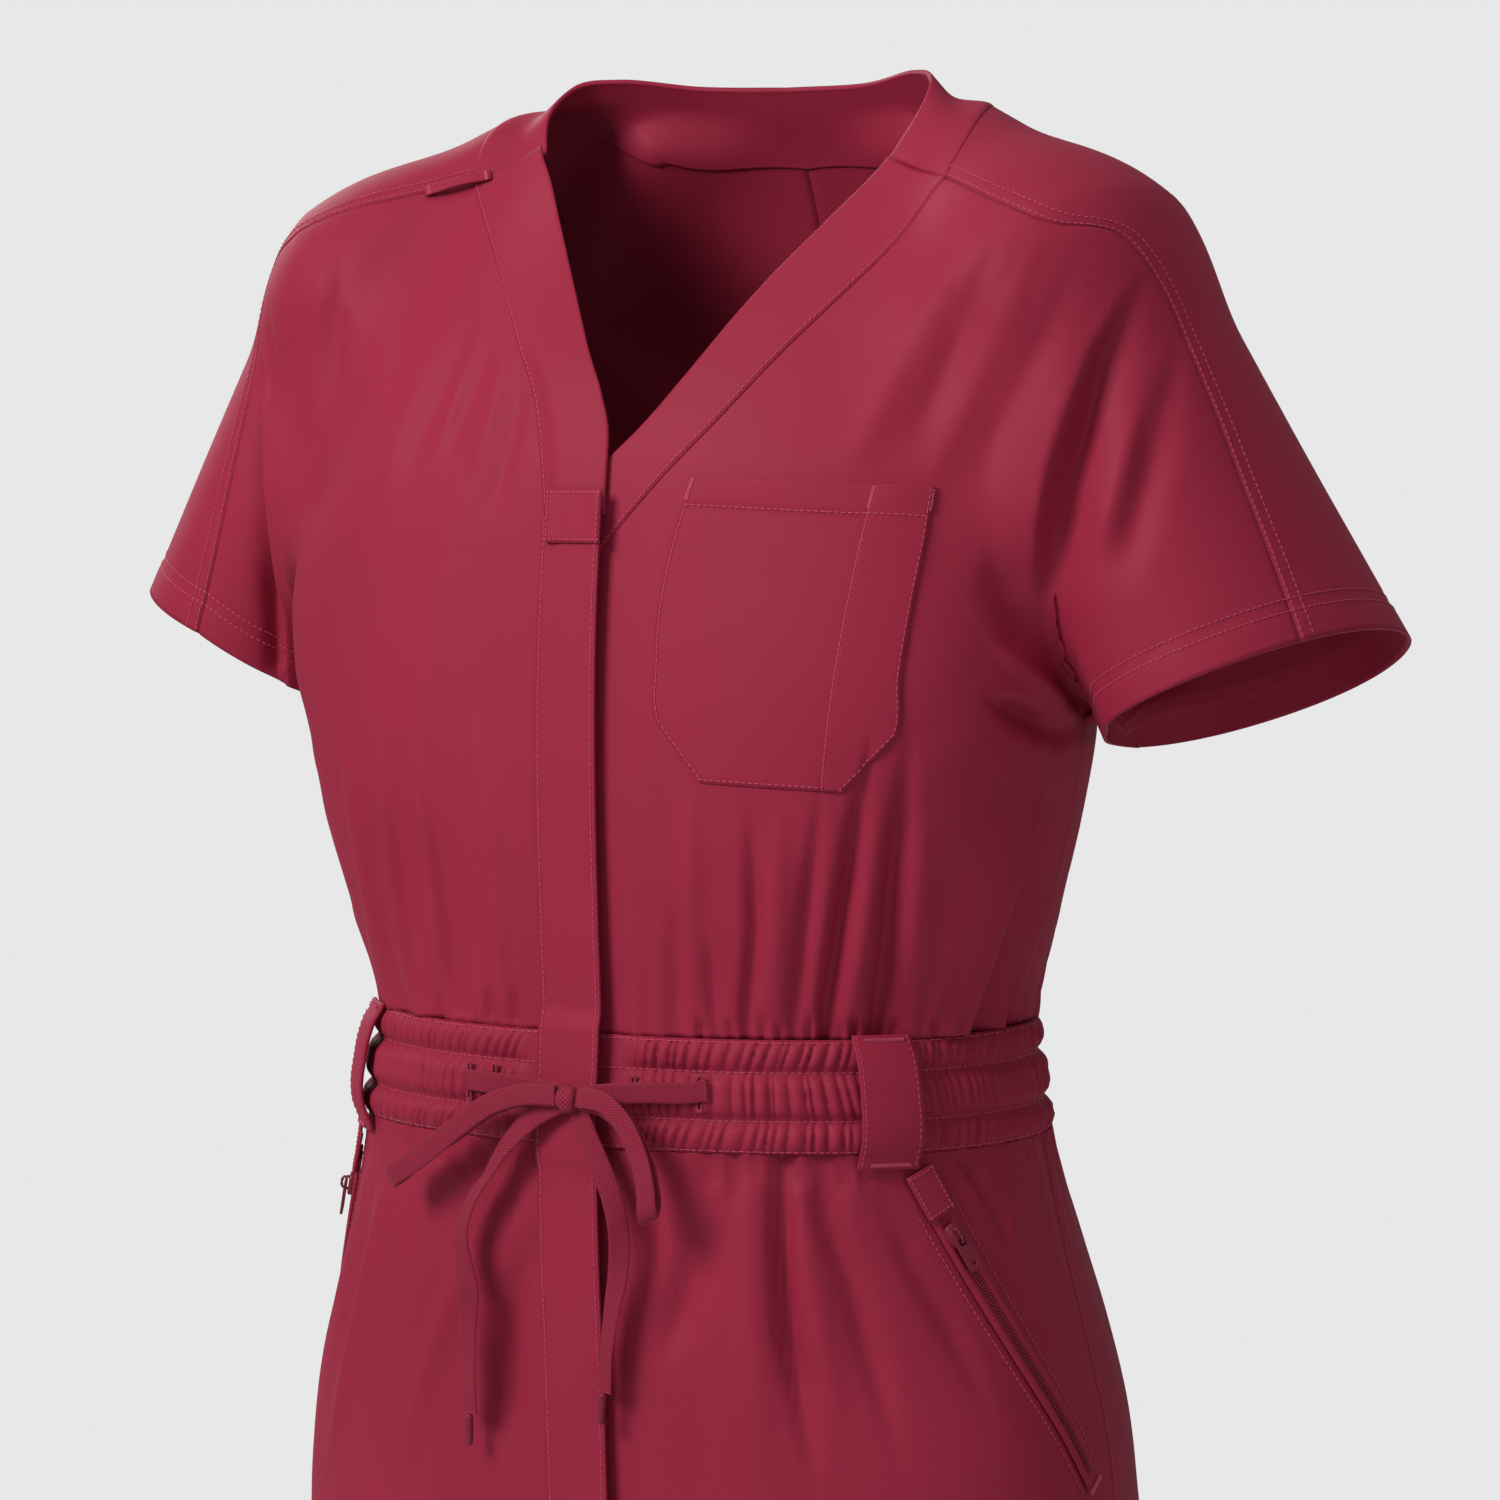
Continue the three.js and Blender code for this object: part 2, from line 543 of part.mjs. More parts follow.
const bandStand = 0.4;
const bandOverBand = bandWall + overlayLift;
const overBand = (s, t) => bandStand + (bandOverBand - bandStand) * ease(t, 0.22, 0.36) * (1 - ease(s, 0.72, 1));
model.add(
  wall('neckband_left', [bandRows(frontNeckEdge.left, neckSeam.left, plainRows, () => 0)], bandWall, cloth),
  wall('neckband_right', [bandRows(frontNeckEdge.right, neckSeam.right, plainRows.slice(0, 8), overBand)],
    clothWall, cloth),
  wall('neckband_back', sides.map((side) => bandRows(backNeckEdge[side], backNeckSeam[side], evenly(0, 1, 8),
    () => 0)), bandWall, cloth),
);

// pieces that lie on a front panel: rows at levels, each from its left to its right end
function laidRows(form, levels, ends, across, lift, slope = 0) {
  return levels.map((z) => {
    const [from, to] = ends(z);
    return Array.from({ length: across + 1 }, (_, i) => {
      const x = from + (to - from) * i / across;
      return place(form, frontPoint(form, x, z + slope * x), lift(x, z));
    });
  });
}

const pocketOutline = [
  { z: -160, from: 54, to: 146 }, { z: -180, from: 48, to: 145 }, { z: -203, from: 43, to: 143 },
  { z: -232, from: 41, to: 140 }, { z: -258, from: 43, to: 137 }, { z: -278, from: 59, to: 121 },
];
const pocketSlope = -0.04;
const pocketLift = overlayLift + overlayWall;
const penEdge = { top: 125, bottom: 110 };
const pocketLevels = pocketOutline.map((row) => row.z);
const pocketEnds = (z) => [between(pocketOutline, 'z', 'from', z), between(pocketOutline, 'z', 'to', z)];
const penEnds = (z) => {
  const t = (z - pocketLevels[0]) / (pocketLevels[5] - pocketLevels[0]);
  return [penEdge.top + (penEdge.bottom - penEdge.top) * t, pocketEnds(z)[1] - 0.6];
};
model.add(
  wall('chest_pocket', [laidRows(bodice, pocketLevels, pocketEnds, 8, () => pocketLift, pocketSlope)],
    overlayWall, cloth),
  wall('pen_pocket', [laidRows(bodice, pocketLevels, penEnds, 3, () => pocketLift + overlayWall + seamGap,
    pocketSlope)], overlayWall, cloth),
);

// elastic waistband: three channels between stitched lines, gathered all round
const waistRows = [
  { z: waistTop, out: 1.2 }, { z: -389.5, out: 4.0 }, { z: -396, out: 1.8 }, { z: -405.5, out: 4.6 },
  { z: -415, out: 1.8 }, { z: -421.5, out: 4.0 }, { z: waistBottom, out: 1.2 },
];
const waistWaves = 36;
const waveHeight = 0.9;
const flatOut = 1.6;
function bodyPoint(turn, z) {
  const form = (reach) => body(reach * Math.sin(turn), -reach * Math.cos(turn), z);
  const reach = rootBetween(10, 260, form);
  return new THREE.Vector3(reach * Math.sin(turn), -reach * Math.cos(turn), z);
}

function waistOut(x, y, z) {
  const beside = y < 0 ? ease(Math.abs(x - 2), 16, 30) : 1;
  return flatOut + (between(waistRows, 'z', 'out', z) - flatOut) * beside;
}

for (const side of sides) {
  const handed = side === 'left' ? 1 : -1;
  const startTurn = Math.asin(handed * frontOpening / 104);
  const rows = waistRows.map(({ z }) => Array.from({ length: 2 * waistWaves + 1 }, (_, i) => {
    const turn = handed * (startTurn + (Math.PI - startTurn) * i / (2 * waistWaves));
    const p = bodyPoint(turn, z);
    if (i === 0) p.x = frontOpening;
    const spot = { p, n: normalAt(body, p).setZ(0).normalize() };
    const calm = (p.y < 0 ? ease(Math.abs(p.x - 2), 18, 34) : 1) * (i === 2 * waistWaves ? 0 : 1);
    const side1 = i % 2 === 0 ? 1 : -1;
    spot.lift = waistOut(p.x, p.y, z) + waveHeight * side1 * calm * (0.7 + 0.3 * Math.sin(2.1 * i));
    return spot;
  }));
  model.add(wall(`waistband_${side}`, [rows], bandWall, cloth));
}

// slanted hip pocket zip: its turn about the body and its level, from the garage down
const zipLine = { topTurn: 1.213, topZ: -447, footTurn: 1.588, footZ: -564 };

function zipPoint(handed, t, sideways = 0) {
  const turn = zipLine.topTurn + (zipLine.footTurn - zipLine.topTurn) * t;
  const z = zipLine.topZ + (zipLine.footZ - zipLine.topZ) * t;
  const p = bodyPoint(handed * turn, z);
  if (sideways === 0) return p;
  const frame = zipFrame(handed, t);
  return settle(body, p.addScaledVector(frame.across, sideways));
}

function zipFrame(handed, t) {
  const p = zipPoint(handed, t);
  const n = normalAt(body, p).normalize();
  const down = zipPoint(handed, t + 0.02).sub(zipPoint(handed, t - 0.02));
  down.addScaledVector(n, -down.dot(n)).normalize();
  return { p, n, down, across: n.clone().cross(down) };
}

// zero on the zip, one away from it: the cloth lies smooth beside a zip
function besideZip(p) {
  const t = Math.min(Math.max((p.z - zipLine.topZ) / (zipLine.footZ - zipLine.topZ), 0), 1);
  return ease(p.distanceTo(zipPoint(p.x < 0 ? -1 : 1, t)), 12, 28);
}

// level at which the legs part
const crotch = rootBetween(-600, -760, (z) => trousers(0, between(legSections, 'z', 'y', z), z));

function trouserRows(side, facing) {
  const handed = side === 'left' ? 1 : -1;
  const ahead = facing === 'front' ? -1 : 1;
  const fine = [waistBottom, -438, -452, -470, -492];
  const coarse = [-520, -552, -584, -612, crotch + 14, crotch, crotch - 14, crotch - 50, -760, -850, -950, -1060,
    -1180, -1300, hemLevel];
  return [...fine, ...coarse].map((z, r) => {
    const steps = r < fine.length ? 2 * bodiceWaves : bodiceWaves;
    const level = Math.min(z, -560);
    const centre = { x: between(legSections, 'z', 'x', level), y: between(legSections, 'z', 'y', level) };
    let inner = Math.PI;
    if (z > crotch + 1) {
      const edge = rootBetween(centre.y, ahead * 230, (y) => trousers(0, y, z));
      inner = Math.atan2(ahead * (edge - centre.y), -centre.x);
    }
    return Array.from({ length: steps + 1 }, (_, i) => {
      const s = i / steps;
      const turn = inner * (1 - s);
      const at = (reach) => [centre.x + reach * Math.cos(turn), centre.y + ahead * reach * Math.sin(turn)];
      const most = Math.cos(turn) < -0.01 ? Math.min(-centre.x / Math.cos(turn), 330) : 330;
      const reach = rootBetween(5, most, (value) => trousers(...at(value), z));
      const [x, y] = at(reach);
      const p = new THREE.Vector3(handed * Math.max(x, 0), y, z);
      const fade = r < fine.length ? (1 - ease(-z, -waistBottom, 520)) * besideZip(p) : 0;
      return place(trousers, p, gatherLift(s, fade, 1.6));
    });
  });
}

for (const facing of ['front', 'back']) {
  for (const side of sides) model.add(wall(`trouser_${facing}_${side}`, [trouserRows(side, facing)], clothWall, cloth));
}

// placket from the neckband to the fly's end, over the waistband; its free edge stands off the panel below
const placketLevels = [placketHead, ...evenly(-200, -360, 8), -376, -381, -387, -396, -406, -415, -424, -430, -436,
  ...evenly(-450, -585, 7), flyEnd];
const placketLift = (x, z) => {
  const overWaist = ease(-z, 372, 382) * (1 - ease(-z, 430, 440));
  const overRise = 0.4 * ease(-z, 560, 590);
  return overlayLift + overlayWall + 1.4 * ease(x, placketRight, 6) + overWaist * (flatOut + 0.4) + overRise;
};
const placketForm = (x, y, z) => (z > -405 ? bodice(x, y, z) : trousers(x, y, z));
model.add(wall('placket', [laidRows(placketForm, placketLevels, () => [placketRight, placketLeft], 4, placketLift)],
  overlayWall, cloth));

// plain folded tab over the head of the placket
const tabLevels = evenly(-168, -189, 3);
model.add(wall('placket_tab', [laidRows(bodice, tabLevels, () => [-10, 18], 3,
  (x, z) => Math.max(placketLift(x, z), bandOverBand + 0.4) + overlayLift + 1.2)], 1.2, cloth));

// belt loops: strips from edge to edge of the waistband, standing off it between their ends
const loopTurn = 62 * Math.PI / 180;
const loopWidth = 22;
const loopRows = [
  { z: -381, out: 3.6 }, { z: -384, out: 5.4 }, { z: -388, out: 8.4 }, { z: -395, out: 10.6 },
  { z: -406, out: 11.2 }, { z: -417, out: 10.6 }, { z: -425, out: 8.4 }, { z: -430, out: 5.4 },
  { z: -434, out: 3.6 },
];
for (const side of sides) {
  const handed = side === 'left' ? 1 : -1;
  const rows = loopRows.map(({ z, out }) => evenly(-0.5, 0.5, 2).map((s) => {
    const turn = handed * (loopTurn + s * loopWidth / 128);
    return { p: bodyPoint(turn, z), n: new THREE.Vector3(Math.sin(turn), -Math.cos(turn), 0), lift: out };
  }));
  model.add(wall(`belt_loop_${side}`, [rows], overlayWall, cloth));
}

// shoulder loop: a narrow folded tape sewn along the right shoulder seam, slack between its ends
const shoulderLoop = { from: [-124, -19, -51], to: [-104, -8.5, -45.2], width: 5, slack: 2.4, wall: 1.2 };
const loopWay = new THREE.Vector3(...shoulderLoop.to).sub(new THREE.Vector3(...shoulderLoop.from)).normalize();
model.add(wall('shoulder_loop', [evenly(0, 1, 8).map((t) => {
  const middle = new THREE.Vector3(...shoulderLoop.from).lerp(new THREE.Vector3(...shoulderLoop.to), t);
  const spot = place(bodice, settle(bodice, middle));
  const across = spot.n.clone().cross(loopWay).normalize();
  const lift = overlayLift + 0.6 + shoulderLoop.wall + shoulderLoop.slack * Math.sin(Math.PI * t);
  return [-0.5, 0.5].map((s) => ({ ...spot, p: spot.p.clone().addScaledVector(across, s * shoulderLoop.width), lift }));
})], shoulderLoop.wall, cloth));

// hip pocket zips: tape, garage patch over its head, slider and pull tab
const zipTape = { halfWidth: 5.5, wall: 1.0, lift: overlayLift + 1.0 };
const garage = { from: -0.1, to: 0.045, halfWidth: 6.5, wall: 1.2, lift: zipTape.lift + seamGap + 1.2 };
const sliderAt = 0.125;
const slider = { base: 1.9, top: 4.3, halfLength: 5.2, halfWidth: 4, bridgeWidth: 2.2, bridgeHalf: 3.4, bridgeTop: 7.6,
  tunnelHalf: 1.9, tunnelLow: 4.5, tunnelHigh: 6.9 };
const pullTab = { hinge: 5.7, wall: 1.1, bar: 0.75, eye: 4.6, eyeHalf: 1.9, halfWidth: 3.2, length: 15, holeAt: 12.6,
  holeRadius: 1.0 };

function stripAlongZip(handed, from, to, steps, halfWidth, lift) {
  return evenly(from, to, steps).map((t) => [-1, 0, 1].map((s) => ({
    ...place(body, zipPoint(handed, t, s * halfWidth + 1e-6), lift),
  })));
}

function roundedPlate(x1, x2, halfWidth, round) {
  const shape = new THREE.Shape();
  shape.moveTo(x1 + round, -halfWidth);
  shape.lineTo(x2 - round, -halfWidth);
  shape.absarc(x2 - round, -halfWidth + round, round, -Math.PI / 2, 0);
  shape.absarc(x2 - round, halfWidth - round, round, 0, Math.PI / 2);
  shape.lineTo(x1 + round, halfWidth);
  shape.absarc(x1 + round, halfWidth - round, round, Math.PI / 2, Math.PI);
  shape.absarc(x1 + round, -halfWidth + round, round, Math.PI, Math.PI * 1.5);
  return shape;
}

function boxHole(x1, y1, x2, y2) {
  const path = new THREE.Path();
  path.moveTo(x1, y1);
  path.lineTo(x1, y2);
  path.lineTo(x2, y2);
  path.lineTo(x2, y1);
  path.closePath();
  return path;
}

function asManifold(geometry) {
  const bare = geometry.clone();
  bare.deleteAttribute('normal');
  bare.deleteAttribute('uv');
  const merged = mergeVertices(bare, 1e-5);
  return new wasm.Manifold(new wasm.Mesh({
    numProp: 3, vertProperties: merged.attributes.position.array, triVerts: Uint32Array.from(merged.index.array),
  }));
}

function fromManifold(shape) {
  const mesh = shape.getMesh();
  const geometry = new THREE.BufferGeometry();
  geometry.setAttribute('position', new THREE.Float32BufferAttribute(mesh.vertProperties, 3));
  geometry.setIndex(Array.from(mesh.triVerts));
  return geometry;
}

function sliderGeometry() {
  const plate = new THREE.ExtrudeGeometry(
    roundedPlate(-slider.halfLength, slider.halfLength, slider.halfWidth, 1.6),
    { depth: slider.top - slider.base, bevelEnabled: false, curveSegments: 3 },
  ).translate(0, 0, slider.base);
  const bridge = new THREE.Shape();
  bridge.moveTo(-slider.bridgeHalf, slider.top - 0.3);
  bridge.lineTo(slider.bridgeHalf, slider.top - 0.3);
  bridge.lineTo(slider.bridgeHalf, slider.bridgeTop - 1.2);
  bridge.lineTo(slider.bridgeHalf - 1.2, slider.bridgeTop);
  bridge.lineTo(-slider.bridgeHalf + 1.2, slider.bridgeTop);
  bridge.lineTo(-slider.bridgeHalf, slider.bridgeTop - 1.2);
  bridge.holes.push(boxHole(-slider.tunnelHalf, slider.tunnelLow, slider.tunnelHalf, slider.tunnelHigh));
  const arch = new THREE.ExtrudeGeometry(bridge, { depth: slider.bridgeWidth, bevelEnabled: false })
    .translate(0, 0, -slider.bridgeWidth / 2).rotateX(Math.PI / 2);
  return fromManifold(asManifold(plate).add(asManifold(arch)));
}

function pullTabGeometry() {
  const plate = roundedPlate(-pullTab.bar, pullTab.length, pullTab.halfWidth, 0.7);
  plate.holes.push(boxHole(pullTab.bar, -pullTab.eyeHalf, pullTab.eye, pullTab.eyeHalf));
  const hole = new THREE.Path();
  hole.absarc(pullTab.holeAt, 0, pullTab.holeRadius, 0, Math.PI * 2, true);
  plate.holes.push(hole);
  return new THREE.ExtrudeGeometry(plate, { depth: pullTab.wall, bevelEnabled: false, curveSegments: 6 })
    .translate(0, 0, pullTab.hinge - pullTab.wall / 2);
}

for (const side of sides) {
  const handed = side === 'left' ? 1 : -1;
  const { p, n, down, across } = zipFrame(handed, sliderAt);
  model.add(
    wall(`zip_tape_${side}`, [stripAlongZip(handed, 0, 1, 10, zipTape.halfWidth, zipTape.lift)], zipTape.wall, tapeCloth),
    wall(`zip_garage_${side}`, [stripAlongZip(handed, garage.from, garage.to, 3, garage.halfWidth, garage.lift)],
      garage.wall, cloth),
  );
  const frame = new THREE.Group();
  frame.position.copy(p);
  frame.quaternion.setFromRotationMatrix(new THREE.Matrix4().makeBasis(down, across, n));
  const pieces = { slider: sliderGeometry(), pull_tab: pullTabGeometry() };
  for (const [name, geometry] of Object.entries(pieces)) {
    const mesh = new THREE.Mesh(geometry, new THREE.MeshStandardMaterial(zipMetal));
    mesh.name = `zip_${name}_${side}`;
    frame.add(mesh);
  }
  model.add(frame);
}

// drawstring: flat tape from the waistband's buttonholes into a bow, each run a ribbon along its route
const tape = { width: 8.8, wall: 0.9 };
const tapeRoutes = {
  drawstring_right_in: { steps: 4, route: [[-48.5, -104.8, -405], [-36, -109, -405], [-22, -112, -405], [-8, -114, -406],
    [3, -114, -407]] },
  drawstring_left_in: { steps: 4, route: [[62.5, -101.2, -403], [53, -106, -404], [42, -110, -404], [28, -113, -405],
    [13.2, -114, -407]] },
  drawstring_right_loop: { steps: 14, face: [-0.78, 0, -0.5], route: [[3, -117, -407.5], [-13, -117, -408],
    [-30, -116, -414], [-48, -114, -425], [-65, -112, -435], [-77, -110, -444], [-80.5, -112.5, -446.5],
    [-76, -116, -444], [-62, -118.5, -436], [-44, -120, -423], [-27, -120.5, -412], [-11, -120, -407],
    [3, -119, -406.5]] },
  drawstring_left_loop: { steps: 14, face: [0.5, 0, -0.8], route: [[13, -117, -408], [24, -116.5, -410],
    [35, -116, -418], [42, -115.5, -430], [45.5, -115.5, -442], [46.5, -116.2, -450], [47, -119, -453.5],
    [47.5, -121.8, -449], [47, -122, -441], [43, -121, -428], [36, -120.5, -416], [26, -120, -408],
    [13, -119, -406.5]] },
  drawstring_right_tail: { steps: 13, route: [[2.5, -115.5, -410], [-10, -115.5, -417], [-22, -115.5, -428],
    [-32, -115.5, -442], [-41, -114, -454], [-46, -113, -467], [-45, -112.5, -478], [-43, -112, -489],
    [-45, -109.5, -506], [-45, -108.5, -522], [-46, -107, -540]] },
  drawstring_left_tail: { steps: 12, route: [[12, -115, -413.5], [16, -115.5, -422], [22, -115.5, -434],
    [27, -115, -446], [30, -114.5, -460], [29, -113.5, -476], [25, -112, -492], [22, -111, -508],
    [20, -110.5, -525]] },
};
const tapeFaceForward = new THREE.Vector3(0, -1, 0);

function ribbon(name, { steps, route, face }) {
  const curve = new THREE.CatmullRomCurve3(route.map((p) => new THREE.Vector3(...p)));
  const rows = evenly(0, 1, steps).map((t) => {
    const way = curve.getTangentAt(t);
    const across = (face ? new THREE.Vector3(...face) : way).clone().cross(tapeFaceForward);
    across.addScaledVector(way, -across.dot(way)).normalize();
    const n = way.clone().cross(across).normalize();
    const p = curve.getPointAt(t);
    return [-0.5, 0.5].map((s) => ({ p: p.clone().addScaledVector(across, s * tape.width), n, lift: tape.wall / 2 }));
  });
  return wall(name, [rows], tape.wall, tapeCloth);
}

for (const [name, run] of Object.entries(tapeRoutes)) model.add(ribbon(name, run));

const knot = { x: 8, y: -117, z: -408, radii: [4.4, 4.4, 5.2] };
const knotGeometry = new THREE.SphereGeometry(1, 10, 6).scale(...knot.radii);
const knotMesh = new THREE.Mesh(knotGeometry, new THREE.MeshStandardMaterial(tapeCloth));
knotMesh.name = 'drawstring_knot';
knotMesh.position.set(knot.x, knot.y, knot.z);
model.add(knotMesh);

const aglet = { length: 13, radius: 1.6 };
for (const side of sides) {
  const { route } = tapeRoutes[`drawstring_${side}_tail`];
  const end = new THREE.Vector3(...route[route.length - 1]);
  const way = end.clone().sub(new THREE.Vector3(...route[route.length - 2])).normalize();
  const mesh = new THREE.Mesh(new THREE.CylinderGeometry(aglet.radius, aglet.radius, aglet.length, 10),
    new THREE.MeshStandardMaterial(zipMetal));
  mesh.name = `drawstring_aglet_${side}`;
  mesh.quaternion.setFromUnitVectors(new THREE.Vector3(0, 1, 0), way);
  mesh.position.copy(end).addScaledVector(way, aglet.length / 2 + seamGap);
  model.add(mesh);
}

export default model;
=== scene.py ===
import math

import bpy
import numpy as np
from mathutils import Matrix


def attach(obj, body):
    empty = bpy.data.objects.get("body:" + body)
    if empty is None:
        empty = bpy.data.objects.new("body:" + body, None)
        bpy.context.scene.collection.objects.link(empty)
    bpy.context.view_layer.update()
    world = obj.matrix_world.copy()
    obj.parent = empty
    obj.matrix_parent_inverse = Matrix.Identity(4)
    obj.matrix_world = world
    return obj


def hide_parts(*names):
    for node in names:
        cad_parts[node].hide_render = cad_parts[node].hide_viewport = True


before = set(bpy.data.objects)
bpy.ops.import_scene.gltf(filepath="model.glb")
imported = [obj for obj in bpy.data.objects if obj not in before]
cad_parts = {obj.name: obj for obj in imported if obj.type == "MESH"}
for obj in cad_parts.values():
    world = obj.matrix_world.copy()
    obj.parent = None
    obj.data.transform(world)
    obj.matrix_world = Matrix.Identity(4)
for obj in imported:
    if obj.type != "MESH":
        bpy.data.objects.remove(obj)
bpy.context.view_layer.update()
print("frame loaded")

# camera at the photo's angle
view = {"azimuth": 31.0, "elevation": 4.0, "distance": 2.5, "lens": 146.0, "film": 36.0,
        "picture": 1500.0, "aside": 0.0185, "height": -0.277}
az, el = math.radians(view["azimuth"]), math.radians(view["elevation"])
toRight = np.array([math.cos(az), math.sin(az), 0.0])
toCamera = np.array([math.sin(az) * math.cos(el), -math.cos(az) * math.cos(el), math.sin(el)])
aim = toRight * view["aside"] + np.array([0, 0, view["height"]])
cameraData = bpy.data.cameras.new("photo_camera")
cameraData.lens, cameraData.sensor_width = view["lens"], view["film"]
camera = bpy.data.objects.new("photo_camera", cameraData)
bpy.context.scene.collection.objects.link(camera)
camera.location = aim + toCamera * view["distance"]
camera.rotation_euler = (math.radians(90 - view["elevation"]), 0, az)
bpy.context.scene.camera = camera

# sizes in mm, shared with the solids
waistTop, waistBottom, hemLevel = -383.0, -428.0, -1410.0
frontOpening, placketLeft, placketRight = -9.0, 17.0, -13.3
placketHead, flyEnd = -178.0, -606.0
bandEnd = placketHead + 0.3
sleeveDepthRatio, shoulderTilt = 1.27, 0.015
overlayLift, overlayWall, bandWall, clothWall = 0.6, 1.5, 2.4, 1.3
sleeveRows, trouserRow = (13, 18), 25
waistRing = {"half": 141, "front": 102.0, "back": 100.0, "sideBehind": 20, "bandFront": 104}
backNeckY, backNeckZ, hemOutward, hemBackward = 84, -36, 6, 12
arcRadius = 122.0
shortStitch = {"pitch": 2.2, "length": 1.6}
handOf = {"left": 1, "right": -1}
allEdges = ("start", "end", "top", "bottom")


def columns(names, rows):
    values = np.array(rows, float)
    order = np.argsort(values[:, 0])
    return {name: values[order, i] for i, name in enumerate(names.split())}


def cubic(t, start, startSlope, end, endSlope):
    return ((2 * t**3 - 3 * t**2 + 1) * start + (t**3 - 2 * t**2 + t) * startSlope
            + (3 * t**2 - 2 * t**3) * end + (t**3 - t**2) * endSlope)


def read(table, column, place):
    # cubic through the rows of a table whose first column is the key
    key, value = next(iter(table.values())), table[column]
    step = np.diff(key)
    slope = np.empty_like(value)
    slope[0], slope[-1] = (value[1] - value[0]) / step[0], (value[-1] - value[-2]) / step[-1]
    a, b = step[:-1], step[1:]
    within = a * a * value[2:] + (b * b - a * a) * value[1:-1] - b * b * value[:-2]
    slope[1:-1] = within / (a * b * (a + b))
    i = np.clip(np.searchsorted(key, place, side="right") - 1, 0, len(key) - 2)
    t = np.clip((place - key[i]) / step[i], 0, 1)
    return cubic(t, value[i], step[i] * slope[i], value[i + 1], step[i] * slope[i + 1])


def ease(value, start, end):
    t = np.clip((value - start) / (end - start), 0, 1)
    return t * t * (3 - 2 * t)


def bell(value, width):
    return np.exp(-((value / width) ** 2))


bodySections = columns("z width front back power", [
    [10, 46, 8, 60, 2.2], [-20, 60, 6, 76, 2.2], [-60, 100, 42, 94, 2.2], [-100, 140, 74, 106, 2.3],
    [-150, 166, 96, 112, 2.5], [-200, 175, 103, 114, 2.8], [-244, 173, 106, 110, 3.0],
    [-300, 163, 106, 105, 2.8], [-340, 152, 104, 102, 2.5], [-380, 141, 102, 100, 2.2],
    [-425, 146, 105, 104, 2.2], [-450, 151, 105, 116, 2.2], [-480, 158, 104, 131, 2.2],
    [-510, 166, 102, 144, 2.2], [-545, 175, 100, 151, 2.2], [-580, 180, 98, 152, 2.2],
    [-640, 182, 97, 147, 2.2], [-700, 181, 96, 142, 2.2]])
legSections = columns("z x y width depth", [
    [-560, 91, 24, 88, 118], [-640, 92, 24, 89, 116], [-720, 94, 22, 86, 106], [-840, 97, 20, 79, 92],
    [-980, 100, 20, 73, 82], [-1180, 103, 26, 70, 77], [-1440, 106, 30, 69, 75]])
neckRoot = {"at": np.array([74.0, 38, -12]), "radius": 15.0}
shoulderPoint = {"at": np.array([152.0, 18, -92]), "radius": 54.0}
sleeveEnd = {"at": np.array([233.0, 34, -244]), "radius": 60.0}


def joined(a, b, rounding):
    h = np.clip(0.5 + 0.5 * (b - a) / rounding, 0, 1)
    return b + (a - b) * h - rounding * h * (1 - h)


def ring(x, y, halfWidth, halfDepth, power):
    scale = (np.abs(x / halfWidth) ** power + np.abs(y / halfDepth) ** power) ** (1 / power)
    return (np.hypot(x, y) + 1e-6) * (1 - 1 / (scale + 1e-9))


def body(p):
    x, y, z = p[..., 0], p[..., 1], p[..., 2]
    depth = np.where(y < 0, read(bodySections, "front", z), read(bodySections, "back", z))
    power = np.where(y < 0, read(bodySections, "power", z), 2.2)
    return ring(x, y, read(bodySections, "width", z), depth, power)


def taper(p, a, b, overrun):
    squeeze = np.array([1, 1 / sleeveDepthRatio, 1])
    start, way = a["at"] * squeeze, (b["at"] - a["at"]) * squeeze * overrun
    fromStart = p * squeeze - start
    t = np.clip(fromStart @ way / (way @ way), 0, 1)
    radius = a["radius"] + (b["radius"] - a["radius"]) * overrun * t
    return np.linalg.norm(fromStart - t[..., None] * way, axis=-1) - radius


def bodice(p):
    q = p.copy()
    q[..., 2] -= shoulderTilt * p[..., 0] * ease(p[..., 2], -170, -50)
    trunk = body(q)
    q[..., 0] = np.abs(q[..., 0])
    arm = joined(taper(q, neckRoot, shoulderPoint, 1), taper(q, shoulderPoint, sleeveEnd, 1.35), 20)
    return joined(trunk, arm, 3 + 37 * ease(q[..., 2], -258, -170))


def trousers(p):
    x, y, z = p[..., 0], p[..., 1], p[..., 2]
    at = np.maximum(z, -1440)
    leg = ring(np.abs(x) - read(legSections, "x", at), y - read(legSections, "y", at),
               read(legSections, "width", at), read(legSections, "depth", at), 2.1)
    parted = ease(-z, 575, 665)
    return body(p) * (1 - parted) + leg * parted


def slopeOf(form, p):
    parts = []
    for axis in range(3):
        step = np.zeros(3)
        step[axis] = 0.5
        parts.append(form(p + step) - form(p - step))
    return np.stack(parts, -1)


def unit(v):
    return v / np.maximum(np.linalg.norm(v, axis=-1, keepdims=True), 1e-9)


def settle(form, p, rounds=6):
    q = p.copy()
    for _ in range(rounds):
        slope = slopeOf(form, q)
        q -= slope * (form(q) / np.maximum((slope**2).sum(-1), 0.05))[..., None]
    return q


def rootBetween(inside, outside, value):
    a, b = inside + 0.0, outside + 0.0
    for _ in range(26):
        middle = (a + b) / 2
        within = value(middle) < 0
        a, b = np.where(within, middle, a), np.where(within, b, middle)
    return (a + b) / 2


def frontPoints(form, x, z):
    x, z = np.broadcast_arrays(np.asarray(x, float), np.asarray(z, float))
    reached = lambda y: form(np.stack([x, y, z], -1))
    y = rootBetween(np.full(x.shape, 20.0), np.full(x.shape, -220.0), reached)
    return np.stack([x, y, z], -1)


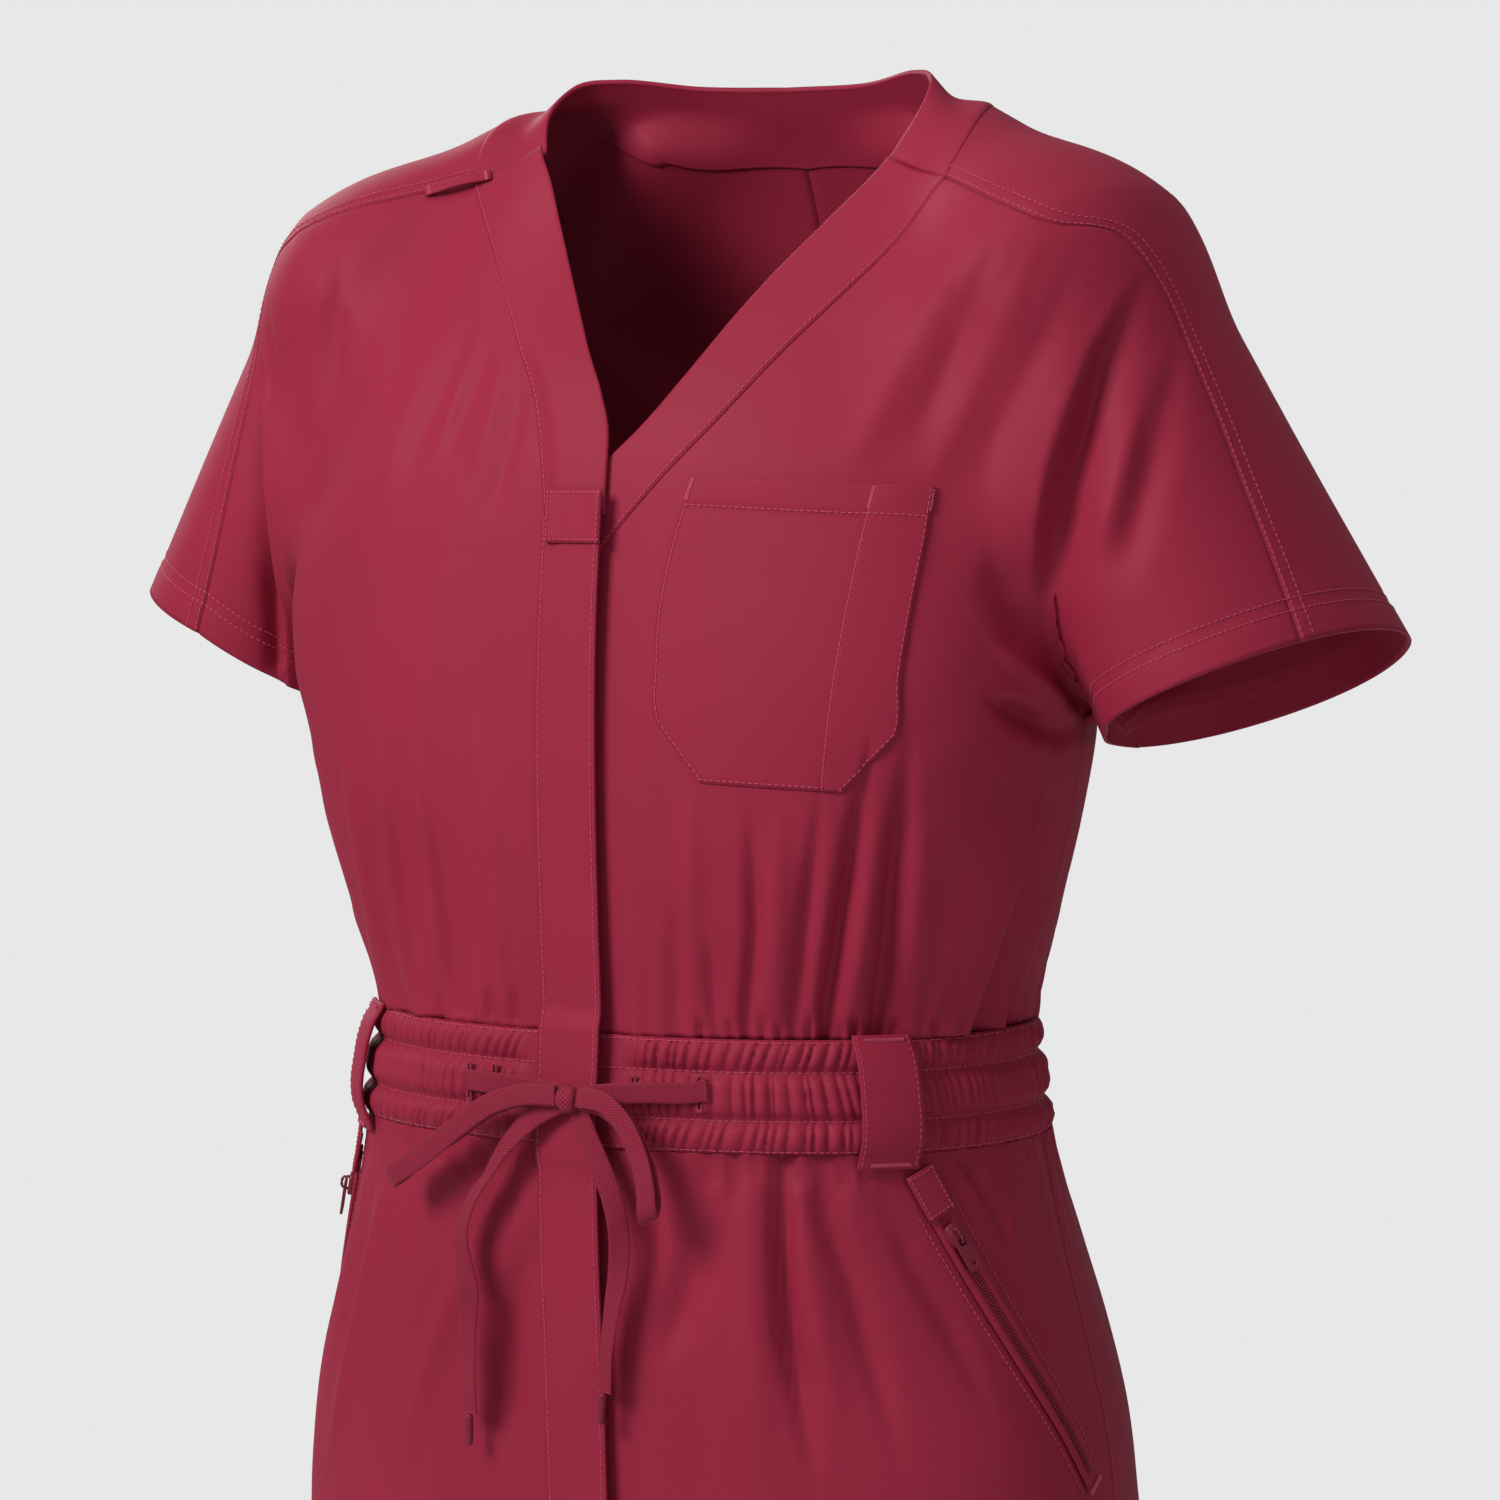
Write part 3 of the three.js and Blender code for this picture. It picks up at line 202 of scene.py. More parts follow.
def aroundPoints(turn, z):
    turn, z = np.broadcast_arrays(np.asarray(turn, float), np.asarray(z, float))
    spot = lambda r: np.stack([r * np.sin(turn), -r * np.cos(turn), z], -1)
    return spot(rootBetween(np.full(turn.shape, 10.0), np.full(turn.shape, 260.0), lambda r: body(spot(r))))


def along(table, t):
    return np.stack([read(table, c, t) for c in "xyz"], -1)


# large folds between two places in the front view: side, x1, z1, x2, z2, width, height
folds = np.array([
    [-1, -62, -95, -100, -250, 13, -2.6], [-1, -45, -120, -78, -300, 11, 1.8],
    [-1, -150, -75, -140, -200, 13, -2.2], [-1, 160, -85, 162, -235, 13, -4.0],
    [-1, 128, -80, 120, -150, 11, 1.5], [-1, 70, -300, 66, -383, 9, -1.8],
    [-1, -70, -290, -66, -383, 9, -1.8], [-1, -40, -455, -34, -760, 12, -3.0],
    [-1, 78, -428, 84, -900, 14, 3.2], [-1, 52, -440, 60, -700, 11, -2.2],
    [-1, -88, -428, -90, -880, 14, 2.8], [1, -120, -120, -70, -330, 15, -2.6],
    [1, 118, -130, 74, -320, 15, -2.4], [1, 12, -200, 8, -383, 13, -2.0],
    [1, 86, -440, 92, -820, 15, 2.6], [1, -92, -440, -96, -860, 15, 2.6],
    [-1, 96, -930, 120, -1010, 14, -2.6], [-1, -98, -950, -122, -1020, 14, -2.4],
    [-1, 58, -770, 116, -850, 16, -2.6], [-1, 70, -880, 88, -1190, 15, -3.4],
    [-1, 120, -1010, 106, -1330, 14, 3.0], [-1, -64, -790, -118, -856, 16, -2.4],
    [-1, -74, -900, -92, -1220, 15, -3.4], [-1, -120, -980, -108, -1320, 14, 2.8],
    [1, 84, -760, 70, -1120, 16, -3.6], [1, 112, -900, 122, -1300, 14, 2.8],
    [1, -86, -780, -72, -1140, 16, -3.4], [1, -114, -880, -122, -1280, 14, 2.8],
    [1, 60, -940, 118, -990, 14, -2.8], [1, -58, -930, -116, -986, 14, -2.8],
    [1, 30, -250, 44, -383, 11, -2.6], [1, -36, -230, -50, -383, 12, -3.0],
    [1, -96, -290, -86, -383, 10, 2.4], [1, 92, -280, 80, -383, 10, -2.4],
    [1, 130, -90, 60, -150, 13, -2.4], [1, -128, -96, -66, -160, 13, -2.4]])


def foldLift(p, table=folds, wake=0.35):
    x, y, z = p[..., 0], p[..., 1], p[..., 2]
    lift = np.zeros(x.shape)
    for side, x1, z1, x2, z2, wide, deep in table:
        dx, dz = x2 - x1, z2 - z1
        t = np.clip(((x - x1) * dx + (z - z1) * dz) / (dx * dx + dz * dz), 0, 1)
        away = np.hypot(x - x1 - dx * t, z - z1 - dz * t)
        lift += deep * ease(side * y, -10, 25) * bell(away, wide) * (wake + (1 - wake) * ease(t, 0, 0.3))
    still = np.where(y < 0, 0.15 + 0.85 * ease(np.abs(x - 2), 16, 34), 1)
    return lift * still * (1 - ease(z, -60, -20))


# small creases of the cloth, with softer ones under the shoulder seams and beside the armholes
creases = np.array([
    [-1, -78, -70, -88, -175, 5, -0.8], [-1, -100, -62, -112, -190, 6, 0.9],
    [-1, -118, -62, -124, -165, 5, -0.8], [-1, -30, -128, -52, -228, 6, -0.9],
    [-1, -50, -150, -70, -262, 5, 0.7], [-1, 112, -62, 104, -128, 5, -0.7],
    [-1, 138, -64, 136, -170, 6, 1.0], [-1, 148, -74, 149, -200, 5, -1.2],
    [-1, 172, -110, 168, -240, 6, 1.2], [-1, 176, -215, 150, -262, 7, -1.8],
    [-1, 170, -250, 138, -288, 6, 1.0], [-1, 158, -262, 128, -330, 7, -1.2],
    [-1, -172, -220, -150, -272, 7, -1.8], [-1, -160, -262, -138, -340, 6, -1.1],
    [-1, 28, -240, 34, -330, 7, -0.7], [-1, -92, -240, -84, -340, 8, -0.9],
    [-1, -28, -250, -30, -360, 6, 0.6], [-1, 104, -430, 124, -520, 8, -1.2],
    [-1, 30, -450, 30, -620, 7, -1.0], [-1, -66, -440, -62, -700, 8, -1.4],
    [-1, 112, -560, 104, -860, 10, -1.8], [-1, -112, -470, -116, -780, 9, -1.6],
    [-1, 62, -690, 92, -740, 9, -1.4], [-1, -58, -690, -90, -744, 9, -1.4],
    [1, -150, -90, -148, -210, 9, -1.8], [1, 150, -90, 148, -210, 9, -1.8],
    [1, -60, -60, -40, -190, 8, -0.9], [1, 64, -62, 40, -200, 8, -0.9],
    [1, -30, -230, -26, -383, 8, -1.2], [1, 44, -250, 38, -383, 8, -1.2],
    [1, 50, -440, 56, -640, 9, -1.6], [1, -46, -440, -58, -660, 9, -1.6],
    [1, 60, -660, 110, -720, 12, -2.2], [1, -60, -660, -110, -716, 12, -2.2],
    [-1, 84, -1300, 120, -1370, 12, -1.6], [-1, -86, -1290, -118, -1366, 12, -1.6]])


def softLift(p):
    return foldLift(p) + foldLift(p, creases, 0.15)


# folds where the picture shows them: depth in mm, widths to the left and right of the line, strength
# left at the end, then the route from its faint end, in picture coordinates
seenFolds = [
    [-11, 9, 30, 0, 1150, 276, 1129, 302, 1100, 356, 1079, 420, 1061, 477, 1051, 530, 1048, 575,
     1049, 620],
    [-2.2, 14, 26, 0, 1052, 520, 1048, 575, 1050, 625, 1058, 685],
    [-4, 20, 20, 0, 1182, 338, 1160, 430, 1135, 520, 1111, 600],
    [2.3, 15, 15, 0, 1140, 400, 1118, 490, 1098, 560],
    [-8.4, 14, 10, 0.5, 985, 700, 1010, 708, 1034, 718, 1060, 733],
    [3.9, 8.8, 8.8, 0.6, 985, 640, 1020, 665, 1050, 690, 1068, 712],
    [-3.7, 20, 20, 0, 985, 540, 1012, 600, 1040, 655],
    [-8.6, 3, 20, 0.7, 1046, 798, 1024, 850, 1001, 912, 982, 970, 965, 1032],
    [-6.2, 3, 14, 0.7, 1050, 762, 1037, 830, 1029, 889, 1016, 940, 1006, 1026],
    [-2.8, 6.2, 7.5, 0.8, 708, 930, 712, 990, 714, 1036],
    [-4.3, 7.5, 10, 0.8, 750, 790, 754, 930, 748, 1000, 746, 1040],
    [-4, 7.5, 10, 0.8, 824, 770, 804, 930, 797, 1000, 794, 1042],
    [-6.8, 8.8, 12.5, 0.8, 872, 730, 850, 860, 838, 942, 828, 1000, 825, 1043],
    [-6.2, 10, 13.8, 0.8, 912, 720, 896, 853, 886, 955, 879, 1010, 876, 1043],
    [2.3, 12.5, 12.5, 0.5, 780, 800, 778, 900, 772, 1000],
    [2.6, 15, 15, 0.5, 872, 860, 862, 940, 852, 1010],
    [2.3, 17.5, 17.5, 0.3, 925, 800, 915, 900, 905, 1000],
    [-2.3, 8.8, 11.2, 0.6, 676, 880, 676, 960, 678, 1034],
    [1.7, 11.2, 11.2, 0.4, 690, 780, 692, 880, 690, 980],
    [2.8, 5, 11.2, 0.6, 335, 690, 345, 760, 357, 829, 377, 938, 392, 1012],
    [-2.5, 6.2, 10, 0.6, 346, 740, 367, 829, 387, 938, 401, 1010],
    [3.1, 5, 11.2, 0.6, 366, 690, 382, 808, 395, 900, 413, 985, 423, 1018],
    [-2.5, 6.2, 10, 0.6, 378, 740, 393, 808, 406, 900, 424, 985, 432, 1018],
    [2.8, 6.2, 12.5, 0.6, 404, 700, 423, 816, 436, 918, 446, 1012],
    [-2.5, 6.2, 10, 0.6, 420, 760, 435, 830, 447, 918, 457, 1010],
    [2.6, 10, 15, 0.5, 466, 690, 484, 803, 497, 905, 504, 1000],
    [-2.8, 7.5, 11.2, 0.5, 447, 820, 459, 905, 466, 960, 470, 1012],
    [2, 3.4, 5.8, 0.8, 464, 930, 472, 975, 479, 1015],
    [2.2, 3.4, 5.8, 0.8, 414, 930, 421, 965, 430, 1012],
    [-2.3, 3.4, 3.4, 0.9, 488, 985, 491, 1018],
    [-2.3, 3.4, 3.4, 0.9, 515, 980, 517, 1020],
    [-2, 3.4, 3.4, 0.9, 440, 985, 441, 1016],
    [-7.8, 14, 3, 0.6, 260, 345, 262, 400, 265, 479, 273, 553, 279, 615, 281, 660],
    [-2.5, 8, 3, 0, 268, 300, 271, 360, 273, 420],
    [-2.8, 12.5, 12.5, 0, 314, 400, 308, 470, 304, 540],
    [2.9, 5.8, 5.8, 0.5, 322, 1490, 341, 1404, 358, 1319, 374, 1241, 385, 1195],
    [-2.5, 10, 6.2, 0.4, 332, 1400, 349, 1319, 364, 1241, 374, 1195],
    [3.1, 10, 10, 0, 396, 1500, 415, 1427, 433, 1358, 459, 1278, 470, 1230],
    [-6.8, 17.5, 20, 0, 520, 1490, 507, 1400, 505, 1340, 512, 1285, 528, 1225],
    [2.5, 6.2, 7.5, 0.6, 500, 1290, 512, 1255, 524, 1222, 536, 1190],
    [-3.1, 7.5, 8.8, 0.5, 649, 1300, 650, 1250, 652, 1180],
    [-4.7, 15, 17.5, 0.6, 655, 1375, 668, 1345, 690, 1280, 705, 1240],
    [-7.8, 8.8, 13.8, 0.8, 818, 1500, 806, 1438, 786, 1339, 779, 1239, 779, 1158],
    [-4, 12.5, 15, 0.8, 905, 1480, 889, 1425, 862, 1330, 849, 1273, 826, 1223, 819, 1160],
    [-3.7, 15, 15, 0.6, 990, 1420, 972, 1372, 945, 1306, 912, 1256, 889, 1173],
    [-3.2, 4.6, 5.8, 0.9, 736, 1215, 733, 1158],
    [-2.9, 4.6, 5.8, 0.9, 715, 1195, 708, 1160],
    [-3.2, 4.6, 5.8, 0.9, 1012, 1256, 992, 1206, 960, 1160],
    [2.6, 15, 15, 0.5, 846, 1450, 826, 1350, 806, 1260, 800, 1190],
    [2.3, 17.5, 17.5, 0.5, 770, 1490, 758, 1400, 752, 1300, 752, 1200],
    [1.6, 9, 9, 0, 326, 225, 316, 330, 309, 455, 303, 600],
    [-1.5, 10, 10, 0, 343, 230, 338, 320, 330, 430],
    [1.4, 14, 14, 0, 400, 250, 385, 340, 366, 430, 350, 500],
    [1.9, 15, 15, 0, 476, 240, 448, 320, 418, 390, 385, 480, 365, 540],
    [-1.7, 10, 10, 0, 486, 262, 468, 325, 442, 385, 412, 450, 395, 495],
    [1.3, 6, 6, 0, 497, 275, 482, 330, 458, 392, 430, 465],
    [-1.6, 8, 9, 0, 497, 310, 480, 372, 460, 420, 440, 475],
    [1.5, 7, 7, 0, 511, 310, 502, 372, 490, 425, 468, 490],
    [-1.5, 9, 9, 0, 522, 350, 515, 420, 500, 480, 480, 530],
    [-2.0, 15, 17, 0, 1003, 222, 972, 300, 930, 400, 900, 470],
    [1.9, 18, 18, 0, 1045, 225, 1005, 320, 955, 430, 915, 530],
    [-1.7, 15, 17, 0, 1085, 245, 1045, 335, 1000, 430, 975, 500],
    [1.6, 18, 18, 0, 955, 250, 915, 340, 870, 430, 835, 480],
    [7.5, 48, 3, 0.7, 1052, 780, 1026, 850, 1003, 912, 984, 970, 967, 1032],
    [3, 18, 3, 0.7, 1056, 770, 1041, 830, 1032, 889, 1019, 940, 1009, 1026],
    [5, 60, 8, 0, 1135, 290, 1096, 356, 1075, 420, 1057, 477, 1047, 530, 1044, 600],
    [4.5, 3, 34, 0.6, 264, 330, 265, 400, 268, 479, 276, 553, 282, 615, 284, 670]]
# short gathers at the waistband: depth, then the two ends
shortGathers = [
    [-2.9, 811, 1010, 808, 1043], [-2.9, 855, 1012, 853, 1042], [-2.6, 763, 1012, 761, 1042],
    [-2.6, 779, 1020, 778, 1042], [-2.6, 729, 1018, 731, 1040], [-2.6, 699, 1016, 700, 1038],
    [-2.5, 841, 1020, 840, 1043], [-2.5, 895, 1015, 893, 1043], [-2.5, 932, 1012, 930, 1040],
    [-2.9, 803, 1195, 796, 1165], [-2.6, 757, 1190, 753, 1160], [-2.6, 846, 1195, 843, 1162],
    [-2.6, 868, 1190, 863, 1165], [-2.6, 975, 1185, 968, 1160], [-2.6, 463, 1178, 461, 1142],
    [-2.6, 441, 1172, 437, 1140], [-2.3, 484, 1180, 482, 1144], [-2.3, 415, 1170, 411, 1138]]
seenFolds += [[deep, 3.4, 4.6, 0.9, *ends] for deep, *ends in shortGathers]


def inPicture(p):
    # place of each point in the picture from the camera
    eye = (aim + toCamera * view["distance"]) * 1000
    middle, toTop = view["picture"] / 2, np.cross(toCamera, toRight)
    reach = view["picture"] * view["lens"] / view["film"] / -((p - eye) @ toCamera)
    return middle + reach * ((p - eye) @ toRight), middle - reach * ((p - eye) @ toTop)


def facing(form, p, low=0.02, high=0.3):
    # how far the picture shows each point: turned to the camera and above its lower edge
    return ease(unit(slopeOf(form, p)) @ toCamera, low, high) * (1 - ease(inPicture(p)[1], 1530, 1720))


def seenLift(form, p):
    # troughs and ridges along each route, steeper on the side with the smaller width
    u, v = inPicture(p)
    shown = facing(form, p)
    lift = np.zeros(u.shape)
    for deep, left, right, rest, *route in seenFolds:
        route = np.array(route, float).reshape(-1, 2)
        margin = 3 * max(left, right)
        (uLow, vLow), (uHigh, vHigh) = route.min(0) - margin, route.max(0) + margin
        near = (u > uLow) & (u < uHigh) & (v > vLow) & (v < vHigh) & (shown > 0)
        if not near.any():
            continue
        at = np.stack([u[near], v[near]], -1)
        step = np.diff(route, axis=0)
        size = np.linalg.norm(step, axis=1)
        run = np.concatenate([[0], np.cumsum(size)])
        closest, share, aside = np.full(len(at), 1e9), np.zeros(len(at)), np.zeros(len(at))
        for k in range(len(step)):
            t = np.clip((at - route[k]) @ step[k] / size[k] ** 2, 0, 1)
            off = at - route[k] - t[:, None] * step[k]
            away = np.hypot(off[:, 0], off[:, 1])
            better = away < closest
            closest = np.where(better, away, closest)
            share = np.where(better, (run[k] + t * size[k]) / run[-1], share)
            aside = np.where(better, off[:, 0], aside)
        strength = ease(share, -0.05, 0.5) * (rest + (1 - rest) * (1 - ease(share, 0.7, 1.0)))
        wide = np.where(aside < 0, left, right) * (0.45 + 0.55 * ease(share, 0, 0.4))
        lift[near] += deep * strength * bell(closest, wide)
    return lift * shown


def arcOf(p):
    # distance round the waist from the middle of the front, towards the wearer's left
    return arcRadius * np.arctan2(p[..., 0] / 1.18, -p[..., 1] / 0.85)


# deep folds where the sleeves leave the body: runs of short stretches
armFolds = np.array([
    [-1, 240, -92, 214, -132, 11, -2.2], [-1, 214, -132, 200, -174, 12, -5.0],
    [-1, 200, -174, 192, -224, 13, -3.5], [-1, 192, -224, 188, -266, 13, -3.0],
    [-1, 178, -252, 140, -284, 9, -2.5], [-1, -176, -120, -174, -180, 9, -3.0],
    [-1, -174, -180, -172, -250, 9, -6.0], [-1, -170, -250, -150, -290, 8, -3.0],
    [1, 190, -120, 184, -190, 12, -4.0], [1, 184, -190, 178, -256, 12, -7.0],
    [1, -190, -120, -184, -190, 12, -4.0], [1, -184, -190, -178, -256, 12, -7.0]])
rng = np.random.default_rng(7)
arcSpan = arcRadius * math.pi


def gatherTable(spacing, unevenness, heights, lengths):
    steps = spacing * (1 + unevenness * rng.uniform(-1, 1, int(2 * arcSpan / spacing)))
    place = np.cumsum(steps)
    place = -arcSpan + place[place < 2 * arcSpan - spacing / 2]
    count = len(place)
    return {"arc": place, "height": rng.uniform(*heights, count),
            "length": np.exp(rng.uniform(*np.log(lengths), count)),
            "lean": rng.normal(0, 0.03, count), "wide": spacing * rng.uniform(0.26, 0.38, count)}


upperGathers = gatherTable(8.6, 0.35, (1.0, 2.3), (26, 110))
lowerGathers = gatherTable(8.8, 0.35, (0.9, 2.1), (20, 80))
longGathers = gatherTable(31, 0.4, (1.0, 2.2), (160, 330))


def gatherLift(p, table, seam):
    # ridges that start at the waist seam, widen and die away, each with its own length and lean
    arc, away = arcOf(p), np.abs(p[..., 2] - seam)
    lift = np.zeros(arc.shape)
    for k in range(len(table["arc"])):
        off = arc - table["arc"][k] - table["lean"][k] * away
        wide = table["wide"][k] * (1 + away / 90)
        lift += table["height"][k] * bell(off, wide) * np.exp(-((away / table["length"][k]) ** 1.4))
    front = p[..., 1] < 0
    calm = np.where(front, ease(np.abs(p[..., 0] - 2), 15, 24), 1)
    return lift * calm


def fromEdge(face, edge):
    # distance over the cloth from one edge of a grid
    axis = 1 if edge in ("start", "end") else 0
    grid = face if edge in ("start", "top") else np.flip(face, axis)
    step = np.linalg.norm(np.diff(grid, axis=axis), axis=-1)
    shape = list(grid.shape[:2])
    shape[axis] = 1
    away = np.concatenate([np.zeros(shape), np.cumsum(step, axis)], axis)
    return away if edge in ("start", "top") else np.flip(away, axis)


def lineFrom(grid, edge, distance):
    # the line on a grid's face at a distance from one of its edges, with its normals
    face, n, away = grid["face"], grid["n"], fromEdge(grid["face"], edge)
    if edge in ("top", "bottom"):
        face, n, away = face.swapaxes(0, 1), n.swapaxes(0, 1), away.T
    if edge in ("end", "bottom"):
        face, n, away = face[:, ::-1], n[:, ::-1], away[:, ::-1]
    pick = lambda rows: np.stack([[np.interp(distance, a, r[:, c]) for c in range(3)]
                                  for a, r in zip(away, rows)])
    return pick(face), unit(pick(n))


def gridOf(form, p, lift, flatLevels=()):
    n = slopeOf(form, p)
    for level in flatLevels:
        n[..., 2] = np.where(np.abs(p[..., 2] - level) < 0.6, 0, n[..., 2])
    n = unit(n)
    return {"p": p, "n": n, "lift": lift, "face": p + n * lift[..., None]}


def raised(grid, extra):
    # the grid with more lift, and its face laid again
    grid["lift"] = grid["lift"] + extra
    grid["face"] = grid["p"] + grid["n"] * grid["lift"][..., None]
    return grid


def steps(stops, spacing):
    # values from stop to stop at about the spacing given for each stretch
    out = [np.array([stops[0]], float)]
    for a, b, gap in zip(stops[:-1], stops[1:], spacing):
        count = max(int(round(abs(b - a) / gap)), 1)
        out.append(np.linspace(a, b, count + 1)[1:])
    return np.concatenate(out)


def quadsOf(rows, cols, first=0):
    i = first + np.arange(rows * cols).reshape(rows, cols)
    return np.stack([i[:-1, :-1], i[1:, :-1], i[1:, 1:], i[:-1, 1:]], -1).reshape(-1, 4)


def tubeFaces(rings, sides, first=0):
    # faces between closed rings of points that follow one another
    i = first + np.arange(rings * sides).reshape(rings, sides)
    j = np.roll(i, -1, axis=1)
    return np.stack([i[:-1], j[:-1], j[1:], i[1:]], -1).reshape(-1, 4).tolist()


def wrappedFaces(rings, sides):
    # faces of a sheet wrapped to a tube, with those that close its rings at the end
    closing = [[(r + 1) * sides - 1, (r + 2) * sides - 1, (r + 1) * sides, r * sides]
               for r in range(rings - 1)]
    return quadsOf(rings, sides).tolist() + closing


def addObject(name, points, faces, material, uv=None):
    name += "_piece"
    mesh = bpy.data.meshes.new(name)
    mesh.from_pydata((np.asarray(points) * 0.001).tolist(), [], [list(map(int, f)) for f in faces])
    mesh.polygons.foreach_set("use_smooth", [True] * len(mesh.polygons))
    if uv is not None:
        corner = np.empty(len(mesh.loops), int)
        mesh.loops.foreach_get("vertex_index", corner)
        mesh.uv_layers.new(name="cloth").data.foreach_set("uv", np.asarray(uv)[corner].ravel())
    mesh.materials.append(material)
    mesh.update()
    piece = bpy.data.objects.new(name, mesh)
    bpy.context.scene.collection.objects.link(piece)
    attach(piece, "garment")
    return piece


weldCells = 200  # points within about 1/200 mm are one


def clothPiece(name, grids, wall):
    # welded grids as one sheet with a wall towards the inside; faces turned outwards
    points, faces, count = [], [], 0
    for grid in grids:
        rows, cols = grid["face"].shape[:2]
        quads = quadsOf(rows, cols, count)
        flat, n = grid["face"].reshape(-1, 3), grid["n"].reshape(-1, 3)
        a, b, c = (flat[quads[:, k] - count] for k in range(3))
        if (np.cross(b - a, c - a) * n[quads[:, 0] - count]).sum() < 0:
            quads = quads[:, ::-1]
        points.append(flat)
        faces.append(quads)
        count += len(flat)
    points, faces = np.concatenate(points), np.concatenate(faces)
    spots = np.round(points * weldCells).astype(int)
    _, first, same = np.unique(spots, axis=0, return_index=True, return_inverse=True)
    faces = same.reshape(-1)[faces]
    kept = [list(dict.fromkeys(f)) for f in faces.tolist()]
    piece = addObject(name, points[first], [f for f in kept if len(f) > 2], cloth)
    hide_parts(name)
    modifier = piece.modifiers.new("wall", "SOLIDIFY")
    modifier.thickness, modifier.offset = wall * 0.001, -1


def lookGroup(name, strength, depth):
    # a group that gives a colour and a normal, with its output and its bump
    group = bpy.data.node_groups.new(name, "ShaderNodeTree")
    group.interface.new_socket(name="Colour", in_out="OUTPUT", socket_type="NodeSocketColor")
    group.interface.new_socket(name="Normal", in_out="OUTPUT", socket_type="NodeSocketVector")
    out, bump = group.nodes.new("NodeGroupOutput"), group.nodes.new("ShaderNodeBump")
    bump.inputs["Strength"].default_value, bump.inputs["Distance"].default_value = strength, depth
    group.links.new(bump.outputs["Normal"], out.inputs["Normal"])
    return group, out, bump


# cloth: woven grain and slightly uneven dye
def weaveGroup(name, dark, light, grain, depth):
    group, out, bump = lookGroup(name, 0.35, depth)
    nodes, links = group.nodes, group.links
    place = nodes.new("ShaderNodeTexCoord")
    cloudy = nodes.new("ShaderNodeTexNoise")
    cloudy.inputs["Scale"].default_value, cloudy.inputs["Detail"].default_value = 9.0, 2.0
    thread = nodes.new("ShaderNodeTexNoise")
    thread.inputs["Scale"].default_value, thread.inputs["Detail"].default_value = grain, 1.0
    stretch = nodes.new("ShaderNodeMapping")
    stretch.inputs["Scale"].default_value = (1.0, 1.0, 0.55)
    both = nodes.new("ShaderNodeMath")
    both.operation = "MULTIPLY_ADD"
    both.inputs[1].default_value = 0.45
    tone = nodes.new("ShaderNodeMix")
    tone.data_type = "RGBA"
    tone.inputs["A"].default_value, tone.inputs["B"].default_value = (*dark, 1), (*light, 1)
    links.new(place.outputs["Object"], cloudy.inputs["Vector"])
    links.new(place.outputs["Object"], stretch.inputs["Vector"])
    links.new(stretch.outputs["Vector"], thread.inputs["Vector"])
    links.new(thread.outputs["Fac"], both.inputs[0])
    links.new(cloudy.outputs["Fac"], both.inputs[2])
    links.new(both.outputs["Value"], tone.inputs["Factor"])
    links.new(thread.outputs["Fac"], bump.inputs["Height"])
    links.new(tone.outputs["Result"], out.inputs["Colour"])
    return group


# tape: checks of a basket weave on the UV, in mm
def basketGroup(name, dark, light, cell, depth):
    group, out, bump = lookGroup(name, 0.6, depth)
    nodes, links = group.nodes, group.links
    place = nodes.new("ShaderNodeUVMap")
    place.uv_map = "cloth"
    checks = nodes.new("ShaderNodeTexChecker")
    checks.inputs["Scale"].default_value = 1 / cell
    checks.inputs["Color1"].default_value, checks.inputs["Color2"].default_value = (*dark, 1), (*light, 1)
    links.new(place.outputs["UV"], checks.inputs["Vector"])
    links.new(checks.outputs["Fac"], bump.inputs["Height"])
    links.new(checks.outputs["Color"], out.inputs["Colour"])
    return group


def surface(name, rough, metallic=0.0, sheen=0.0, tint=(1, 1, 1), colour=(0.3, 0.03, 0.06), group=None):
    material = bpy.data.materials.new(name)
    material.use_nodes = True
    nodes, links = material.node_tree.nodes, material.node_tree.links
    shader = nodes["Principled BSDF"]
    shader.inputs["Base Color"].default_value = (*colour, 1)
    shader.inputs["Roughness"].default_value = rough
    shader.inputs["Metallic"].default_value = metallic
    shader.inputs["Specular IOR Level"].default_value = 0.16
    shader.inputs["Sheen Weight"].default_value = sheen
    shader.inputs["Sheen Roughness"].default_value = 0.45
    shader.inputs["Sheen Tint"].default_value = (*tint, 1)
    if group:
        look = nodes.new("ShaderNodeGroup")
        look.node_tree = group
        links.new(look.outputs["Colour"], shader.inputs["Base Color"])
        links.new(look.outputs["Normal"], shader.inputs["Normal"])
    return material


clothLook = weaveGroup("woven_cloth", (0.250, 0.0125, 0.036), (0.325, 0.0175, 0.048), 1500.0, 0.00022)
tapeLook = basketGroup("basket_tape", (0.17, 0.008, 0.024), (0.34, 0.022, 0.055), 0.75, 0.0002)
cloth = surface("cloth", 0.62, sheen=0.04, tint=(1.0, 0.35, 0.45), group=clothLook)
tapeCloth = surface("tape", 0.7, sheen=0.1, tint=(1.0, 0.4, 0.5), group=tapeLook)
thread = surface("thread", 0.45, sheen=0.1, tint=(1.0, 0.6, 0.7), colour=(0.50, 0.065, 0.12))
closeThread = surface("close_thread", 0.55, colour=(0.34, 0.026, 0.062))
zipPaint = surface("zip_paint", 0.32, metallic=0.15, colour=(0.22, 0.022, 0.045))
zipCoil = surface("zip_coil", 0.4, colour=(0.24, 0.022, 0.047))
# painted shade: a near-black surface for the shade inside the buttonhole slits
slitPaintedShade = surface("slit_shade", 0.9, colour=(0.03, 0.003, 0.006))

# stitches: short rounded threads laid in rows, gathered by region
stitchRuns = {}


